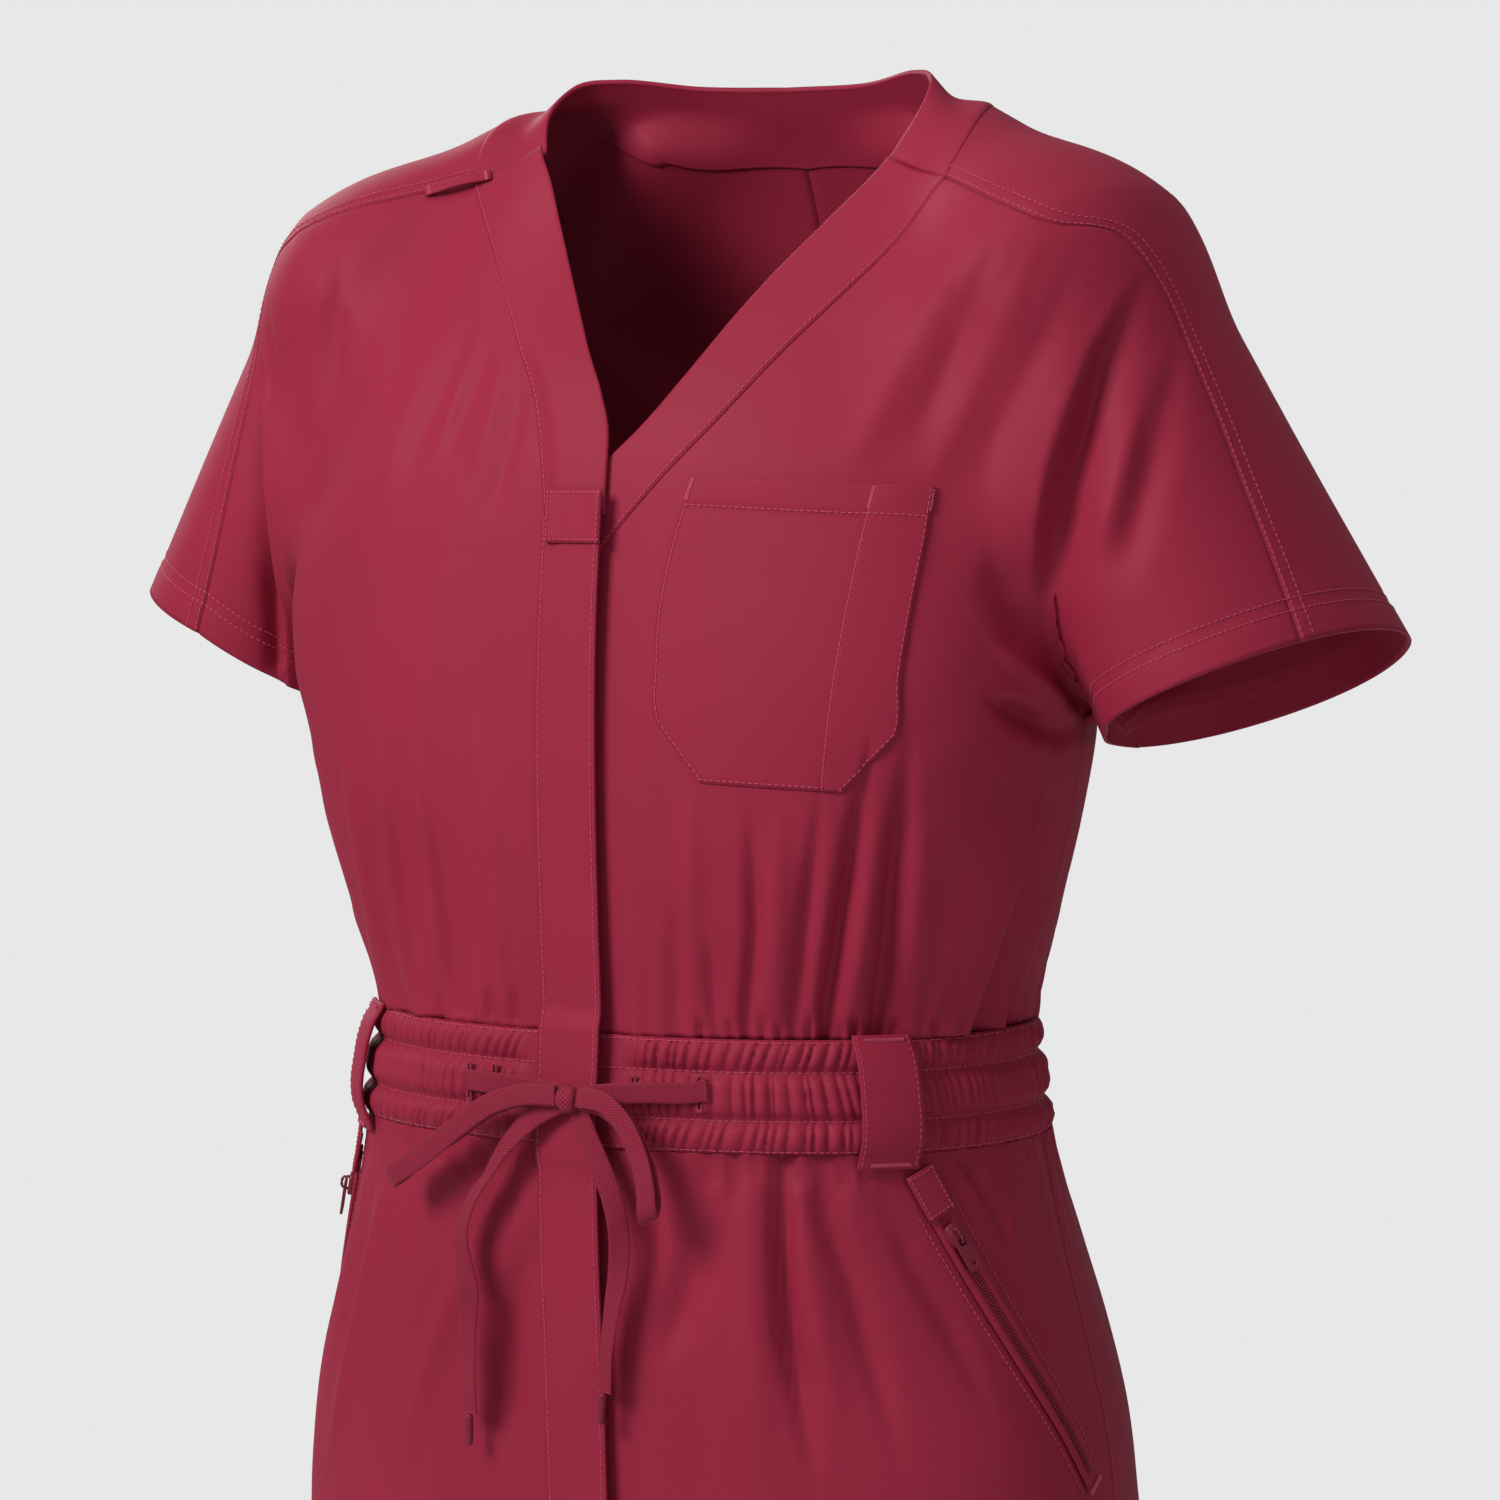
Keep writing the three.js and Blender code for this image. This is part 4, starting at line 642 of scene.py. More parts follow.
def sew(region, points, normals, pitch=2.7, length=2.0, radius=0.25, lift=0.2, span=None):
    points, normals = np.asarray(points, float), np.asarray(normals, float)
    if span:
        keep = slice(int(span[0] * (len(points) - 1)), int(span[1] * (len(points) - 1)) + 1)
        points, normals = points[keep], normals[keep]
    run = np.concatenate([[0], np.cumsum(np.linalg.norm(np.diff(points, axis=0), axis=1))])
    if run[-1] < pitch:
        return
    at = np.arange(pitch / 2, run[-1] - pitch / 4, pitch)
    centre = np.stack([np.interp(at, run, points[:, c]) for c in range(3)], -1)
    n = unit(np.stack([np.interp(at, run, normals[:, c]) for c in range(3)], -1))
    ahead = np.stack([np.interp(np.minimum(at + 0.8, run[-1]), run, points[:, c]) for c in range(3)], -1)
    way = ahead - centre
    way = unit(way - n * (way * n).sum(-1, keepdims=True))
    stitchRuns.setdefault(region, []).append((centre + n * lift, way, np.cross(n, way), n, length, radius))


def layStitches():
    turns = (np.arange(4) + 0.5) * math.pi / 2
    stations = [(-0.5, 0.4), (-0.32, 1.05), (0.32, 1.05), (0.5, 0.4)]
    quads = tubeFaces(4, 4)
    for region, runs in stitchRuns.items():
        points = []
        for centre, way, across, n, length, radius in runs:
            spokes = [across * math.cos(a) * 1.15 + n * math.sin(a) * 0.8 for a in turns]
            for place, size in stations:
                middle = centre + way * place * length
                points.append(np.stack([middle + spoke * radius * size for spoke in spokes], 1))
        blocks = [np.stack(points[i:i + 4], 1).reshape(-1, 3) for i in range(0, len(points), 4)]
        allPoints = np.concatenate(blocks)
        count = len(allPoints) // 16
        faces = (np.array(quads)[None] + 16 * np.arange(count)[:, None, None]).reshape(-1, 4)
        made = closeThread if region == "buttonholes" else thread
        addObject("stitches_" + region, allPoints, faces, made)


# shoulder, armhole and neck seams of the bodice, by side
shoulderSeam = {
    "left": columns("t x y z", [
        [0, 124, -22, -44], [0.22, 160, -38, -57], [0.34, 180, -37, -64], [0.46, 200, -14, -70],
        [0.54, 212, -5, -88], [0.7, 231, -3, -130], [0.85, 252, -7, -172], [1, 268, -6, -229]]),
    "right": columns("t x y z", [
        [0, 106, -8, -45], [0.22, 146, -30, -56], [0.34, 176, -38, -66], [0.46, 196, -31, -82],
        [0.54, 198, -38, -102], [0.7, 201, -43, -140], [0.85, 211, -44, -186], [1, 225, -43, -233]])}
armholeFromSeam, underarmAt = 0.34, 0.62
frontArmhole = {
    "left": columns("t x y z", [
        [0, 180, -39, -65], [0.2, 187, -52, -100], [0.45, 188, -50, -150], [0.68, 183, -40, -198],
        [0.86, 177, -20, -238], [1, 173, 10, -261]]),
    "right": columns("t x y z", [
        [0, 176, -38, -66], [0.2, 172, -60, -100], [0.45, 168, -68, -150], [0.68, 169, -58, -198],
        [0.86, 172, -30, -238], [1, 173, 10, -261]])}
backArmhole = columns("t x y z", [
    [0, 180, -39, -65], [0.18, 184, 8, -48], [0.36, 188, 60, -74], [0.54, 188, 90, -120],
    [0.72, 184, 92, -175], [0.87, 178, 62, -225], [1, 173, 10, -261]])
neckSeam = {
    "left": columns("t x y z", [
        [0, 124, -22, -44], [0.1, 106, -42, -73], [0.2, 85, -67, -105], [0.31, 60, -89, -139],
        [0.4, 36, -97, -166], [0.47, 14, -102, -190], [0.54, frontOpening, -103, -215],
        [0.6, frontOpening, -104, -238], [1, frontOpening, -102, waistTop]]),
    "right": columns("t x y z", [
        [0, -106, -8, -45], [0.1, -86, -30, -63], [0.2, -63, -54, -83], [0.3, -39, -78, -110],
        [0.38, -23, -91, -134], [0.42, -17, -96, -151], [0.48, -12, -100, bandEnd],
        [0.54, frontOpening, -103, -200], [1, frontOpening, -102, waistTop]])}
backNeckSeam = {
    "left": columns("t x y z", [
        [0, 0, 84, -36], [0.27, 48, 78, -32], [0.52, 88, 56, -26], [0.72, 112, 28, -24],
        [0.88, 122, 0, -30], [1, 124, -22, -44]]),
    "right": columns("t x y z", [
        [0, 0, 84, -36], [0.27, -48, 78, -32], [0.52, -84, 56, -26], [0.74, -104, 30, -25],
        [0.9, -108, 6, -34], [1, -106, -8, -45]])}
backNeckEdge = {
    "left": columns("t x y z", [
        [0, 0, 66, -4], [0.27, 40, 62, -3], [0.52, 72, 46, 1], [0.72, 90, 28, -3], [0.88, 95, 8, -18],
        [1, 90, -6, -36]]),
    "right": columns("t x y z", [
        [0, 0, 66, -4], [0.27, -40, 62, -3], [0.52, -70, 46, 0], [0.74, -84, 30, -4],
        [0.9, -84, 12, -18], [1, -78, 2, -32]])}
frontNeckEdge = {
    "left": columns("t x y z", [
        [0, 90, -6, -36], [0.1, 71, -44, -71], [0.2, 57, -68, -98], [0.31, 42, -85, -123],
        [0.4, 26, -94, -144], [0.47, 8, -98, -162], [0.54, frontOpening, -100, -180]]),
    "right": columns("t x y z", [
        [0, -78, 2, -32], [0.1, -50, -32, -57], [0.2, -24, -62, -85], [0.3, -4, -81, -112],
        [0.38, 9, -90, -132], [0.42, 14.5, -94, -145], [0.48, placketLeft, -99, bandEnd]])}
neckShare = 8 / 12


def flipped(table):
    return {**table, "x": -table["x"]}


def coons(top, bottom, inner, outer, s, t):
    # a four-sided patch between its edge lines
    a, b, c, d = inner[0], outer[0], inner[-1], outer[-1]
    s, t = s[None, :, None], t[:, None, None]
    return (top * (1 - t) + bottom * t + inner[:, None] * (1 - s) + outer[:, None] * s
            - a * (1 - s) * (1 - t) - b * s * (1 - t) - c * (1 - s) * t - d * s * t)


def mix(a, b, t):
    return a + (b - a) * np.asarray(t)[:, None]


def seamDip(away, deep=0.45):
    return -deep * bell(away, 1.0)


backColumns = steps([0, 0.5, neckShare, 0.988, 1], [0.015, 0.015, 0.015, 0.006])


def bodicePanel(side, front):
    handed = handOf[side]
    seam = shoulderSeam[side] if side == "left" else flipped(shoulderSeam[side])
    armhole = frontArmhole[side] if front else backArmhole
    armhole = {k: v.copy() for k, v in (armhole if side == "left" else flipped(armhole)).items()}
    for k, v in zip("xyz", along(seam, np.array([armholeFromSeam]))[0]):
        armhole[k][0] = v
    underarm = settle(bodice, along(armhole, np.array([1.0])))[0]
    waistDepth = (waistRing["front"] + waistRing["back"]) / 2
    sideTurn = math.pi / 2 + math.asin(waistRing["sideBehind"] / waistDepth)
    startTurn = math.asin(handed * frontOpening / waistRing["half"]) if front else math.pi
    s = steps([0, 0.012, 0.988, 1], [0.006, 0.0066, 0.006]) if front else backColumns
    t = steps([0, 0.01, underarmAt, 0.985, 1], [0.005, 0.0068, 0.0082, 0.005])
    turn = startTurn + (sideTurn - startTurn) * s
    depth = np.where(np.cos(turn) > 0, waistRing["front"], waistRing["back"])
    across = handed * waistRing["half"] * np.sin(turn)
    waist = np.stack([across, -depth * np.cos(turn), 0 * turn + waistTop], -1)
    if front:
        top = along(seam, armholeFromSeam * s)
        inner = along(neckSeam[side], t)
    else:
        top = np.where((s < neckShare)[:, None], along(backNeckSeam[side], s / neckShare),
                       along(seam, armholeFromSeam * (s - neckShare) / (1 - neckShare)))
        inner = np.stack([0 * t, 0 * t + backNeckY, backNeckZ + (waistTop - backNeckZ) * t], -1)
    outer = np.where((t < underarmAt)[:, None], along(armhole, t / underarmAt),
                     mix(underarm, waist[-1], (t - underarmAt) / (1 - underarmAt)))
    p = settle(bodice, coons(top, waist, inner, outer, s, t))
    if front:
        p[:, 0, 0] = (np.maximum if handed > 0 else np.minimum)(p[:, 0, 0], frontOpening)
    else:
        p[:, 0, 0] = 0

    # sleeve: from the armhole line to the hem, whose plane leans so that the back hangs lower
    axis = sleeveEnd["at"] - shoulderPoint["at"]
    axis = unit(axis * np.array([handed, 1, 1]))
    centre = sleeveEnd["at"] * np.array([handed, 1, 1])
    outward = unit(np.array([handed, 0, 0]) - axis * (handed * axis[0]))
    depthward = np.cross(axis, outward)
    depthward *= np.sign(depthward[1])
    toSeam = along(seam, np.array([1.0]))[0] - centre
    seamTurn = math.atan2(toSeam @ depthward / sleeveDepthRatio, toSeam @ outward)
    ta = t[t <= underarmAt + 1e-9] / underarmAt
    sa = steps([0, 0.97, 1], [0.0155, 0.01])
    hemTurn = seamTurn + ((-math.pi if front else math.pi) - seamTurn) * ta
    radius = sleeveEnd["radius"]
    hem = (centre + outward * radius * np.cos(hemTurn)[:, None]
           + depthward * radius * sleeveDepthRatio * np.sin(hemTurn)[:, None]
           + axis * (hemOutward * (1 + np.cos(hemTurn)) / 2 + hemBackward * np.sin(hemTurn))[:, None])
    armLine = along(armhole, ta)
    armLine[-1] = underarm
    arm = coons(along(seam, armholeFromSeam + (1 - armholeFromSeam) * sa), mix(underarm, hem[-1], sa),
                armLine, hem, sa, ta)
    arm = settle(bodice, arm)
    arm[:, 0] = p[: len(ta), -1]
    return p, arm


def bodiceLift(p):
    hidden = 1 - facing(bodice, p, 0.05, 0.4)
    small = (0.25 + 0.95 * hidden) * softLift(p) + hidden * foldLift(p, armFolds, 0.6)
    gathers = (0.55 + 0.7 * hidden) * gatherLift(p, upperGathers, waistTop) * ease(-p[..., 2], 215, 330)
    return small + gathers + seenLift(bodice, p)


def bodiceGrids(side, front):
    p, arm = bodicePanel(side, front)
    grid = gridOf(bodice, p, bodiceLift(p), [waistTop])
    sleeveGrid = gridOf(bodice, arm, bodiceLift(arm))
    rows = arm.shape[0]
    below = np.arange(p.shape[0]) >= rows - 1
    dip = seamDip(fromEdge(p, "top")) + np.where(below[:, None], seamDip(fromEdge(p, "end")), 0)
    if front:
        dip = dip + seamDip(fromEdge(p, "start"), 0.3)
    armDip = seamDip(fromEdge(arm, "top")) + seamDip(fromEdge(arm, "bottom"))
    # the hem is folded in: a slightly proud edge, then a shallow groove along its stitching
    toHem = fromEdge(arm, "end")
    armDip = armDip + 0.5 * (1 - ease(toHem, 12, 15))
    for away in sleeveRows:
        armDip = armDip - 0.35 * bell(toHem - away, 1.2)
    raised(grid, dip)
    raised(sleeveGrid, armDip)
    for key in ("lift", "n", "face"):
        sleeveGrid[key][:, 0] = grid[key][:rows, -1]
    return grid, sleeveGrid


def bodiceHalf(side, front):
    grid, sleeveGrid = bodiceGrids(side, front)
    clothPiece(("front_" if front else "back_") + side, [grid, sleeveGrid], clothWall)
    for away in sleeveRows:
        sew("sleeves", *lineFrom(sleeveGrid, "end", away))
    return grid, sleeveGrid


for side in ("left", "right"):
    bodiceHalf(side, True)
seamStart = int(np.searchsorted(backColumns, neckShare))
for side in ("right", "left"):
    grid, sleeveGrid = bodiceHalf(side, False)
    for away in (1.6, 6.6):
        line, n = lineFrom(grid, "top", away)
        armLine, armN = lineFrom(sleeveGrid, "top", away)
        line, n = (np.concatenate([a[seamStart:], b[1:]]) for a, b in ((line, armLine), (n, armN)))
        sew("shoulders", line, n)
print("bodice built")

# neckband: strips from the free neck edge to the panels' seam
def bandGrid(edge, seam, t, lift, standing=False):
    s = steps([0, 0.06, 0.94, 1.04], [0.03, 0.062, 0.03])
    start, end = along(edge, t), along(seam, t)
    p = start[:, None] * (1 - s)[None, :, None] + end[:, None] * s[None, :, None]
    laid = settle(bodice, p)
    p = p + (laid - p) * ease(s, 0.3, 1)[None, :, None] if standing else laid
    grid = gridOf(bodice, p, lift(s[None, :], t[:, None]) + foldLift(p) + 0.35 * foldLift(p, creases, 0.15))
    return raised(grid, -0.3 * bell(fromEdge(p, "end"), 0.8) - 0.35 * bell(fromEdge(p, "start"), 0.8))


overBand = lambda s, t: 0.4 + (bandWall + overlayLift - 0.4) * ease(t, 0.22, 0.36) * (1 - ease(s, 0.72, 1))
plainBand = lambda s, t: 0.45 + 0 * s * t
leftT, rightT = np.linspace(0, 0.54, 110), np.linspace(0, 0.48, 100)
leftBand = bandGrid(frontNeckEdge["left"], neckSeam["left"], leftT, plainBand)
rightBand = bandGrid(frontNeckEdge["right"], neckSeam["right"], rightT, lambda s, t: overBand(s, t) + 0.1)
backT = np.linspace(0, 1, 80)
backBands = [bandGrid(backNeckEdge[k], backNeckSeam[k], backT, plainBand, True)
             for k in ("right", "left")]
for grid in backBands:
    grid["p"][0, :, 0] = 0
    grid["face"][0, :, 0] = 0
clothPiece("neckband_left", [leftBand], 2.2)
clothPiece("neckband_right", [rightBand], 1.7)
clothPiece("neckband_back", backBands, 2.2)
for grid in (leftBand, rightBand):
    sew("neck", *lineFrom(grid, "end", 1.6))


# pieces laid on a panel: rows at levels, each from its right to its left end
def laidGrid(form, z, ends, across, lift, slope=0.0):
    low, high = ends(z)
    x = low[:, None] + (high - low)[:, None] * across[None, :]
    level = np.broadcast_to(z[:, None], x.shape)
    p = frontPoints(form, x, level + slope * x)
    under = bodiceLift(p) if form is bodice else 0 * x
    return gridOf(form, p, lift(x, level) + under)


pocketOutline = columns("z from to", [
    [-160, 54, 146], [-180, 48, 145], [-203, 43, 143], [-232, 41, 140], [-258, 43, 137], [-278, 59, 121]])
pocketSlope, pocketTop, cornerAt, cornerFoot = -0.04, -160.0, -256.0, (61.0, 119.0)
pocketEnds = lambda z: (read(pocketOutline, "from", z), read(pocketOutline, "to", z))
penInner = lambda z: 125 - 15 * (pocketTop - z) / 118
pocketZ = steps([pocketTop, pocketTop - 1.5, -257, -279], [0.5, 1.7, 1.3])


def straightOutline(z):
    # the lower corners are cut straight across
    t = np.clip((cornerAt - z) / 22, 0, 1)
    return [np.where(z < cornerAt, start[0] + (foot - start[0]) * t, side)
            for side, start, foot in zip(pocketEnds(z), pocketEnds(np.array([cornerAt])), cornerFoot)]


pocket = laidGrid(bodice, pocketZ, straightOutline, steps([0, 0.02, 0.98, 1], [0.01, 0.0125, 0.01]),
                  lambda x, z: 1.0 + 1.3 * bell(z - pocketTop, 9) * bell((x - 84) / 34, 1), pocketSlope)
for edge in ("start", "end", "bottom"):
    away = fromEdge(pocket["p"], edge)
    raised(pocket, -0.4 * bell(away, 0.8) - 0.2 * bell(away - 1.6, 0.7))
away = fromEdge(pocket["p"], "top")
raised(pocket, 0.4 * (1 - ease(away, 10.5, 12.5)) - 0.25 * bell(away - 11.6, 0.9))
penStrip = laidGrid(bodice, pocketZ, lambda z: (penInner(z), straightOutline(z)[1] - 0.4),
                    steps([0, 0.05, 0.95, 1], [0.02, 0.04, 0.02]),
                    lambda x, z: 1.7 + 1.1 * bell(z - pocketTop, 8) * bell((x - 133) / 8, 1), pocketSlope)
for edge in ("start", "end", "bottom"):
    raised(penStrip, -0.6 * bell(fromEdge(penStrip["p"], edge), 0.7))
clothPiece("chest_pocket", [pocket], 0.7)
clothPiece("pen_pocket", [penStrip], 0.6)
for edge in ("start", "bottom"):
    sew("pocket", *lineFrom(pocket, edge, 1.6))
sew("pocket", *lineFrom(penStrip, "end", 1.6))
sew("pocket", *lineFrom(pocket, "top", 11.6), span=(0.02, 0.8))
sew("pocket", *lineFrom(penStrip, "start", 1.0))
sew("pocket", *lineFrom(penStrip, "top", 11.6))


closePitch = 0.55


def bartack(region, middle, normal, way, length, wide=1.6):
    # dense crosswise stitches over a short line
    across = unit(np.cross(normal, way))
    for k in range(int(length / closePitch)):
        at = middle + way * (k * closePitch - length / 2)
        line = np.stack([at - across * wide / 2, at + across * wide / 2])
        sew(region, line, np.stack([normal, normal]), pitch=wide * 0.9, length=wide, radius=0.26, lift=0.2)


for grid, col in ((pocket, 1), (penStrip, 1), (penStrip, -2)):
    start = grid["face"][1, col]
    down = unit(grid["face"][8, col] - start)
    bartack("pocket", start + down * 5, grid["n"][4, col], down, 9)

# waistband: three gathered channels between stitched lines
waistProfile = columns("z out", [
    [-383, 1.0], [-386, 3.1], [-389.5, 3.7], [-393, 3.1], [-396, 1.3], [-400, 3.9], [-405.5, 4.4],
    [-411, 3.9], [-415, 1.3], [-418.5, 3.3], [-421.5, 3.7], [-425, 3.0], [-428, 1.0]])
waistSeams = np.array([waistTop, -396.0, -415.0, waistBottom])


def waistOut(p):
    beside = np.where(p[..., 1] < 0, ease(np.abs(p[..., 0] - 3), 19, 32), 1)
    return 1.6 + (read(waistProfile, "out", p[..., 2]) - 1.6) * beside, beside


pleatPlace = np.cumsum(4.3 * (1 + 0.45 * rng.uniform(-1, 1, 400)))
pleatPlace = np.concatenate([[-arcSpan], pleatPlace[pleatPlace < 2 * arcSpan - 2] - arcSpan, [arcSpan]])
pleatHeight = rng.uniform(1.3, 3.0, len(pleatPlace))
pleatShift = rng.normal(0, 0.8, (3, len(pleatPlace)))
pleatLean = (-0.24, 0.1, -0.2)


def waistPleats(p):
    arc, z = arcOf(p), p[..., 2]
    channel = np.clip(np.searchsorted(-waistSeams, -z) - 1, 0, 2)
    out = np.zeros(arc.shape)
    for c in range(3):
        middle = (waistSeams[c] + waistSeams[c + 1]) / 2
        place = np.sort(pleatPlace + pleatShift[c] * (np.abs(pleatPlace) < arcSpan))
        lean = pleatLean[c] + 0.12 * np.sin(arc / 17 + c)
        leant = arc + lean * (z - middle) * (1 - ease(np.abs(arc), 340, 380))
        k = np.clip(np.searchsorted(place, leant) - 1, 0, len(place) - 2)
        u = np.clip((leant - place[k]) / np.maximum(place[k + 1] - place[k], 0.4), 0, 1)
        ridge = pleatHeight[k] * (np.sin(math.pi * u) ** 0.6 - 0.72)
        half = (waistSeams[c] - waistSeams[c + 1]) / 2
        full = np.clip(1 - np.abs((z - middle) / half) ** 3, 0, 1)
        out = np.where(channel == c, ridge * (0.25 + 0.75 * full), out)
    return out


def waistGrid(side):
    handed = handOf[side]
    start = math.asin(handed * frontOpening / waistRing["bandFront"])
    turn = handed * (start + (math.pi - start) * steps([0, 0.55, 1], [1 / 600, 1 / 400]))
    z = steps(waistSeams, [1.18, 1.2, 1.18])
    p = aroundPoints(turn[None, :], z[:, None])
    p[:, 0, 0] = frontOpening
    p[:, -1, 0] = 0
    n = slopeOf(body, p)
    n[..., 2] = 0
    out, beside = waistOut(p)
    grid = {"p": p, "n": unit(n), "lift": out + waistPleats(p) * beside}
    grid["lift"][:, -1] = out[:, -1]
    grid["n"][:, -1] = [0, 1, 0]
    grid["face"] = grid["p"] + grid["n"] * grid["lift"][..., None]
    return grid


for side in ("left", "right"):
    grid = waistGrid(side)
    clothPiece("waistband_" + side, [grid], 1.6)
    for level in waistSeams:
        row = min(max(int(np.abs(grid["p"][:, 0, 2] - level).argmin()), 1), len(grid["p"]) - 2)
        sew("waistband", grid["face"][row], grid["n"][row], pitch=2.9, length=2.1)
print("waistband built")

# trousers: hips that part into two legs
zipLine = {"topTurn": 1.213, "topZ": -447.0, "footTurn": 1.588, "footZ": -564.0}


def zipPoint(handed, t):
    t = np.asarray(t, float)
    turn = zipLine["topTurn"] + (zipLine["footTurn"] - zipLine["topTurn"]) * t
    return aroundPoints(handed * turn, zipLine["topZ"] + (zipLine["footZ"] - zipLine["topZ"]) * t)


def zipFrame(handed, t):
    p = zipPoint(handed, t)
    n = unit(slopeOf(body, p))
    down = zipPoint(handed, np.asarray(t) + 0.02) - zipPoint(handed, np.asarray(t) - 0.02)
    down = unit(down - n * (down * n).sum(-1, keepdims=True))
    return p, n, down, np.cross(n, down)


zipSamples = {handed: zipPoint(handed, np.linspace(-0.1, 1.06, 59)) for handed in (-1, 1)}


def zipAway(p):
    # distance to the nearer hip zip
    flat = p.reshape(-1, 3)
    away = np.full(len(flat), 99.0)
    near = np.flatnonzero((flat[:, 2] > -600) & (np.abs(flat[:, 0]) > 90))
    for handed in (-1, 1):
        line = zipSamples[handed]
        here = near[flat[near, 0] * handed > 0]
        a, b = line[:-1], line[1:]
        for i in range(len(a)):
            t = np.clip(((flat[here] - a[i]) @ (b[i] - a[i])) / ((b[i] - a[i]) @ (b[i] - a[i])), 0, 1)
            d = np.linalg.norm(flat[here] - a[i] - t[:, None] * (b[i] - a[i]), axis=1)
            away[here] = np.minimum(away[here], d)
    return away.reshape(p.shape[:-1])


def trouserLift(p):
    hidden = 1 - facing(trousers, p, 0.05, 0.4)
    below = (0.7 + 0.6 * hidden) * gatherLift(p, lowerGathers, waistBottom)
    below = below + (0.25 + hidden) * gatherLift(p, longGathers, waistBottom)
    zipDistance = zipAway(p)
    calm = ease(zipDistance, 9, 26)
    welt = 0.7 * bell(zipDistance - 7.5, 2.0) - 0.4 * bell(zipDistance - 9.6, 0.9)
    large = (0.25 + 1.05 * hidden) * foldLift(p)
    return large + (1.3 * foldLift(p, creases, 0.15) * hidden + below + seenLift(trousers, p)) * calm + welt


middlePoint = lambda y, z: np.stack([0 * y, y, z + 0 * y], -1)
crotch = float(rootBetween(np.array([-600.0]), np.array([-760.0]),
                           lambda z: trousers(np.stack([0 * z, read(legSections, "y", z), z], -1)))[0])


def trouserGrid(side, front):
    handed, ahead = handOf[side], -1 if front else 1
    # rows close up towards the crotch, where the inner edge turns quickly
    z = steps([waistBottom, waistBottom - 1.5, -560, crotch + 20, crotch + 9, crotch + 2.4,
               crotch + 0.1, crotch - 0.5, crotch - 20, -830, hemLevel + 30, hemLevel],
              [0.75, 2.3, 4.6, 3.7, 2.2, 0.6, 0.6, 2.4, 8, 16, 2.5] if front else
              [0.75, 3.6, 7, 3.8, 2.2, 0.6, 0.6, 3.2, 8, 16, 3.2])
    s = steps([0, 0.01, 0.985, 1], [0.005, 0.0116 if front else 0.013, 0.0075])
    level = np.minimum(z, -560)
    cx, cy = read(legSections, "x", level), read(legSections, "y", level)
    edge = rootBetween(cy, np.full(len(z), ahead * 230.0), lambda y: trousers(middlePoint(y, z)))
    inner = np.where(z > crotch + 0.06, np.arctan2(ahead * (edge - cy), -cx), math.pi)
    turn = inner[:, None] * (1 - s)[None, :]
    cosine, sine = np.cos(turn), np.sin(turn)
    cx, cy, level = cx[:, None], cy[:, None], np.broadcast_to(z[:, None], turn.shape)
    at = lambda r: np.stack([cx + r * cosine, cy + ahead * r * sine, level], -1)
    most = np.where(cosine < -0.01, np.minimum(-cx / np.minimum(cosine, -0.01), 330), 330)
    p = at(rootBetween(np.full(turn.shape, 5.0), most, lambda r: trousers(at(r))))
    p[..., 0] = handed * np.maximum(p[..., 0], 0)
    toHem = fromEdge(p, "bottom")
    hem = 0.5 * (1 - ease(toHem, 24, 27)) - 0.3 * bell(toHem - trouserRow, 1.4)
    dips = seamDip(fromEdge(p, "end")) + seamDip(fromEdge(p, "start"), 0.4)
    return raised(gridOf(trousers, p, trouserLift(p), [waistBottom]), dips + hem)


for side in ("left", "right"):
    for front in (True, False):
        grid = trouserGrid(side, front)
        clothPiece(f"trouser_{'front' if front else 'back'}_{side}", [grid], clothWall)
        sew("hems", *lineFrom(grid, "bottom", trouserRow))
        if front:
            sew("rise", *lineFrom(grid, "start", 1.8), span=(0.35, 0.56))
        else:
            sew("side_seams", *lineFrom(grid, "end", 1.8), span=(0, 0.6))
print("trousers built")

# placket over the opening, its free edge standing off the panel below
def placketLift(x, z):
    overWaist = ease(-z, 372, 382) * (1 - ease(-z, 430, 440))
    stand = 2.4 * ease(x, placketRight, 8) + 2.0 * bell(x - placketLeft, 6) * (0.7 + 0.3 * np.sin(z / 37))
    return overlayLift + overlayWall + stand + overWaist * 2.2


placketZ = steps([placketHead, flyEnd], [2.3])
placketForm = lambda p: np.where(p[..., 2] > -405, bodice(p), trousers(p))
placket = laidGrid(placketForm, placketZ, lambda z: (0 * z + placketRight, 0 * z + placketLeft),
                   steps([0, 0.04, 0.96, 1], [0.02, 0.042, 0.02]), placketLift)
raised(placket, 0.25 * softLift(placket["p"]) - 0.7 * bell(fromEdge(placket["p"], "start"), 1.0))
clothPiece("placket", [placket], 1.2)
sew("placket", *lineFrom(placket, "start", 2.2))
sew("placket", *lineFrom(placket, "end", 1.8))
tabLift = lambda x, z: np.maximum(placketLift(x, z), bandWall + overlayLift + 0.4) + 1.5
tab = laidGrid(bodice, steps([-168, -189], [1.0]), lambda z: (0 * z - 10, 0 * z + 18),
               steps([0, 1], [0.04]), tabLift)
for edge in allEdges:
    raised(tab, -0.5 * bell(fromEdge(tab["p"], edge), 0.8))
clothPiece("placket_tab", [tab], 0.9)
for edge in allEdges:
    sew("placket", *lineFrom(tab, edge, 1.5), **shortStitch)

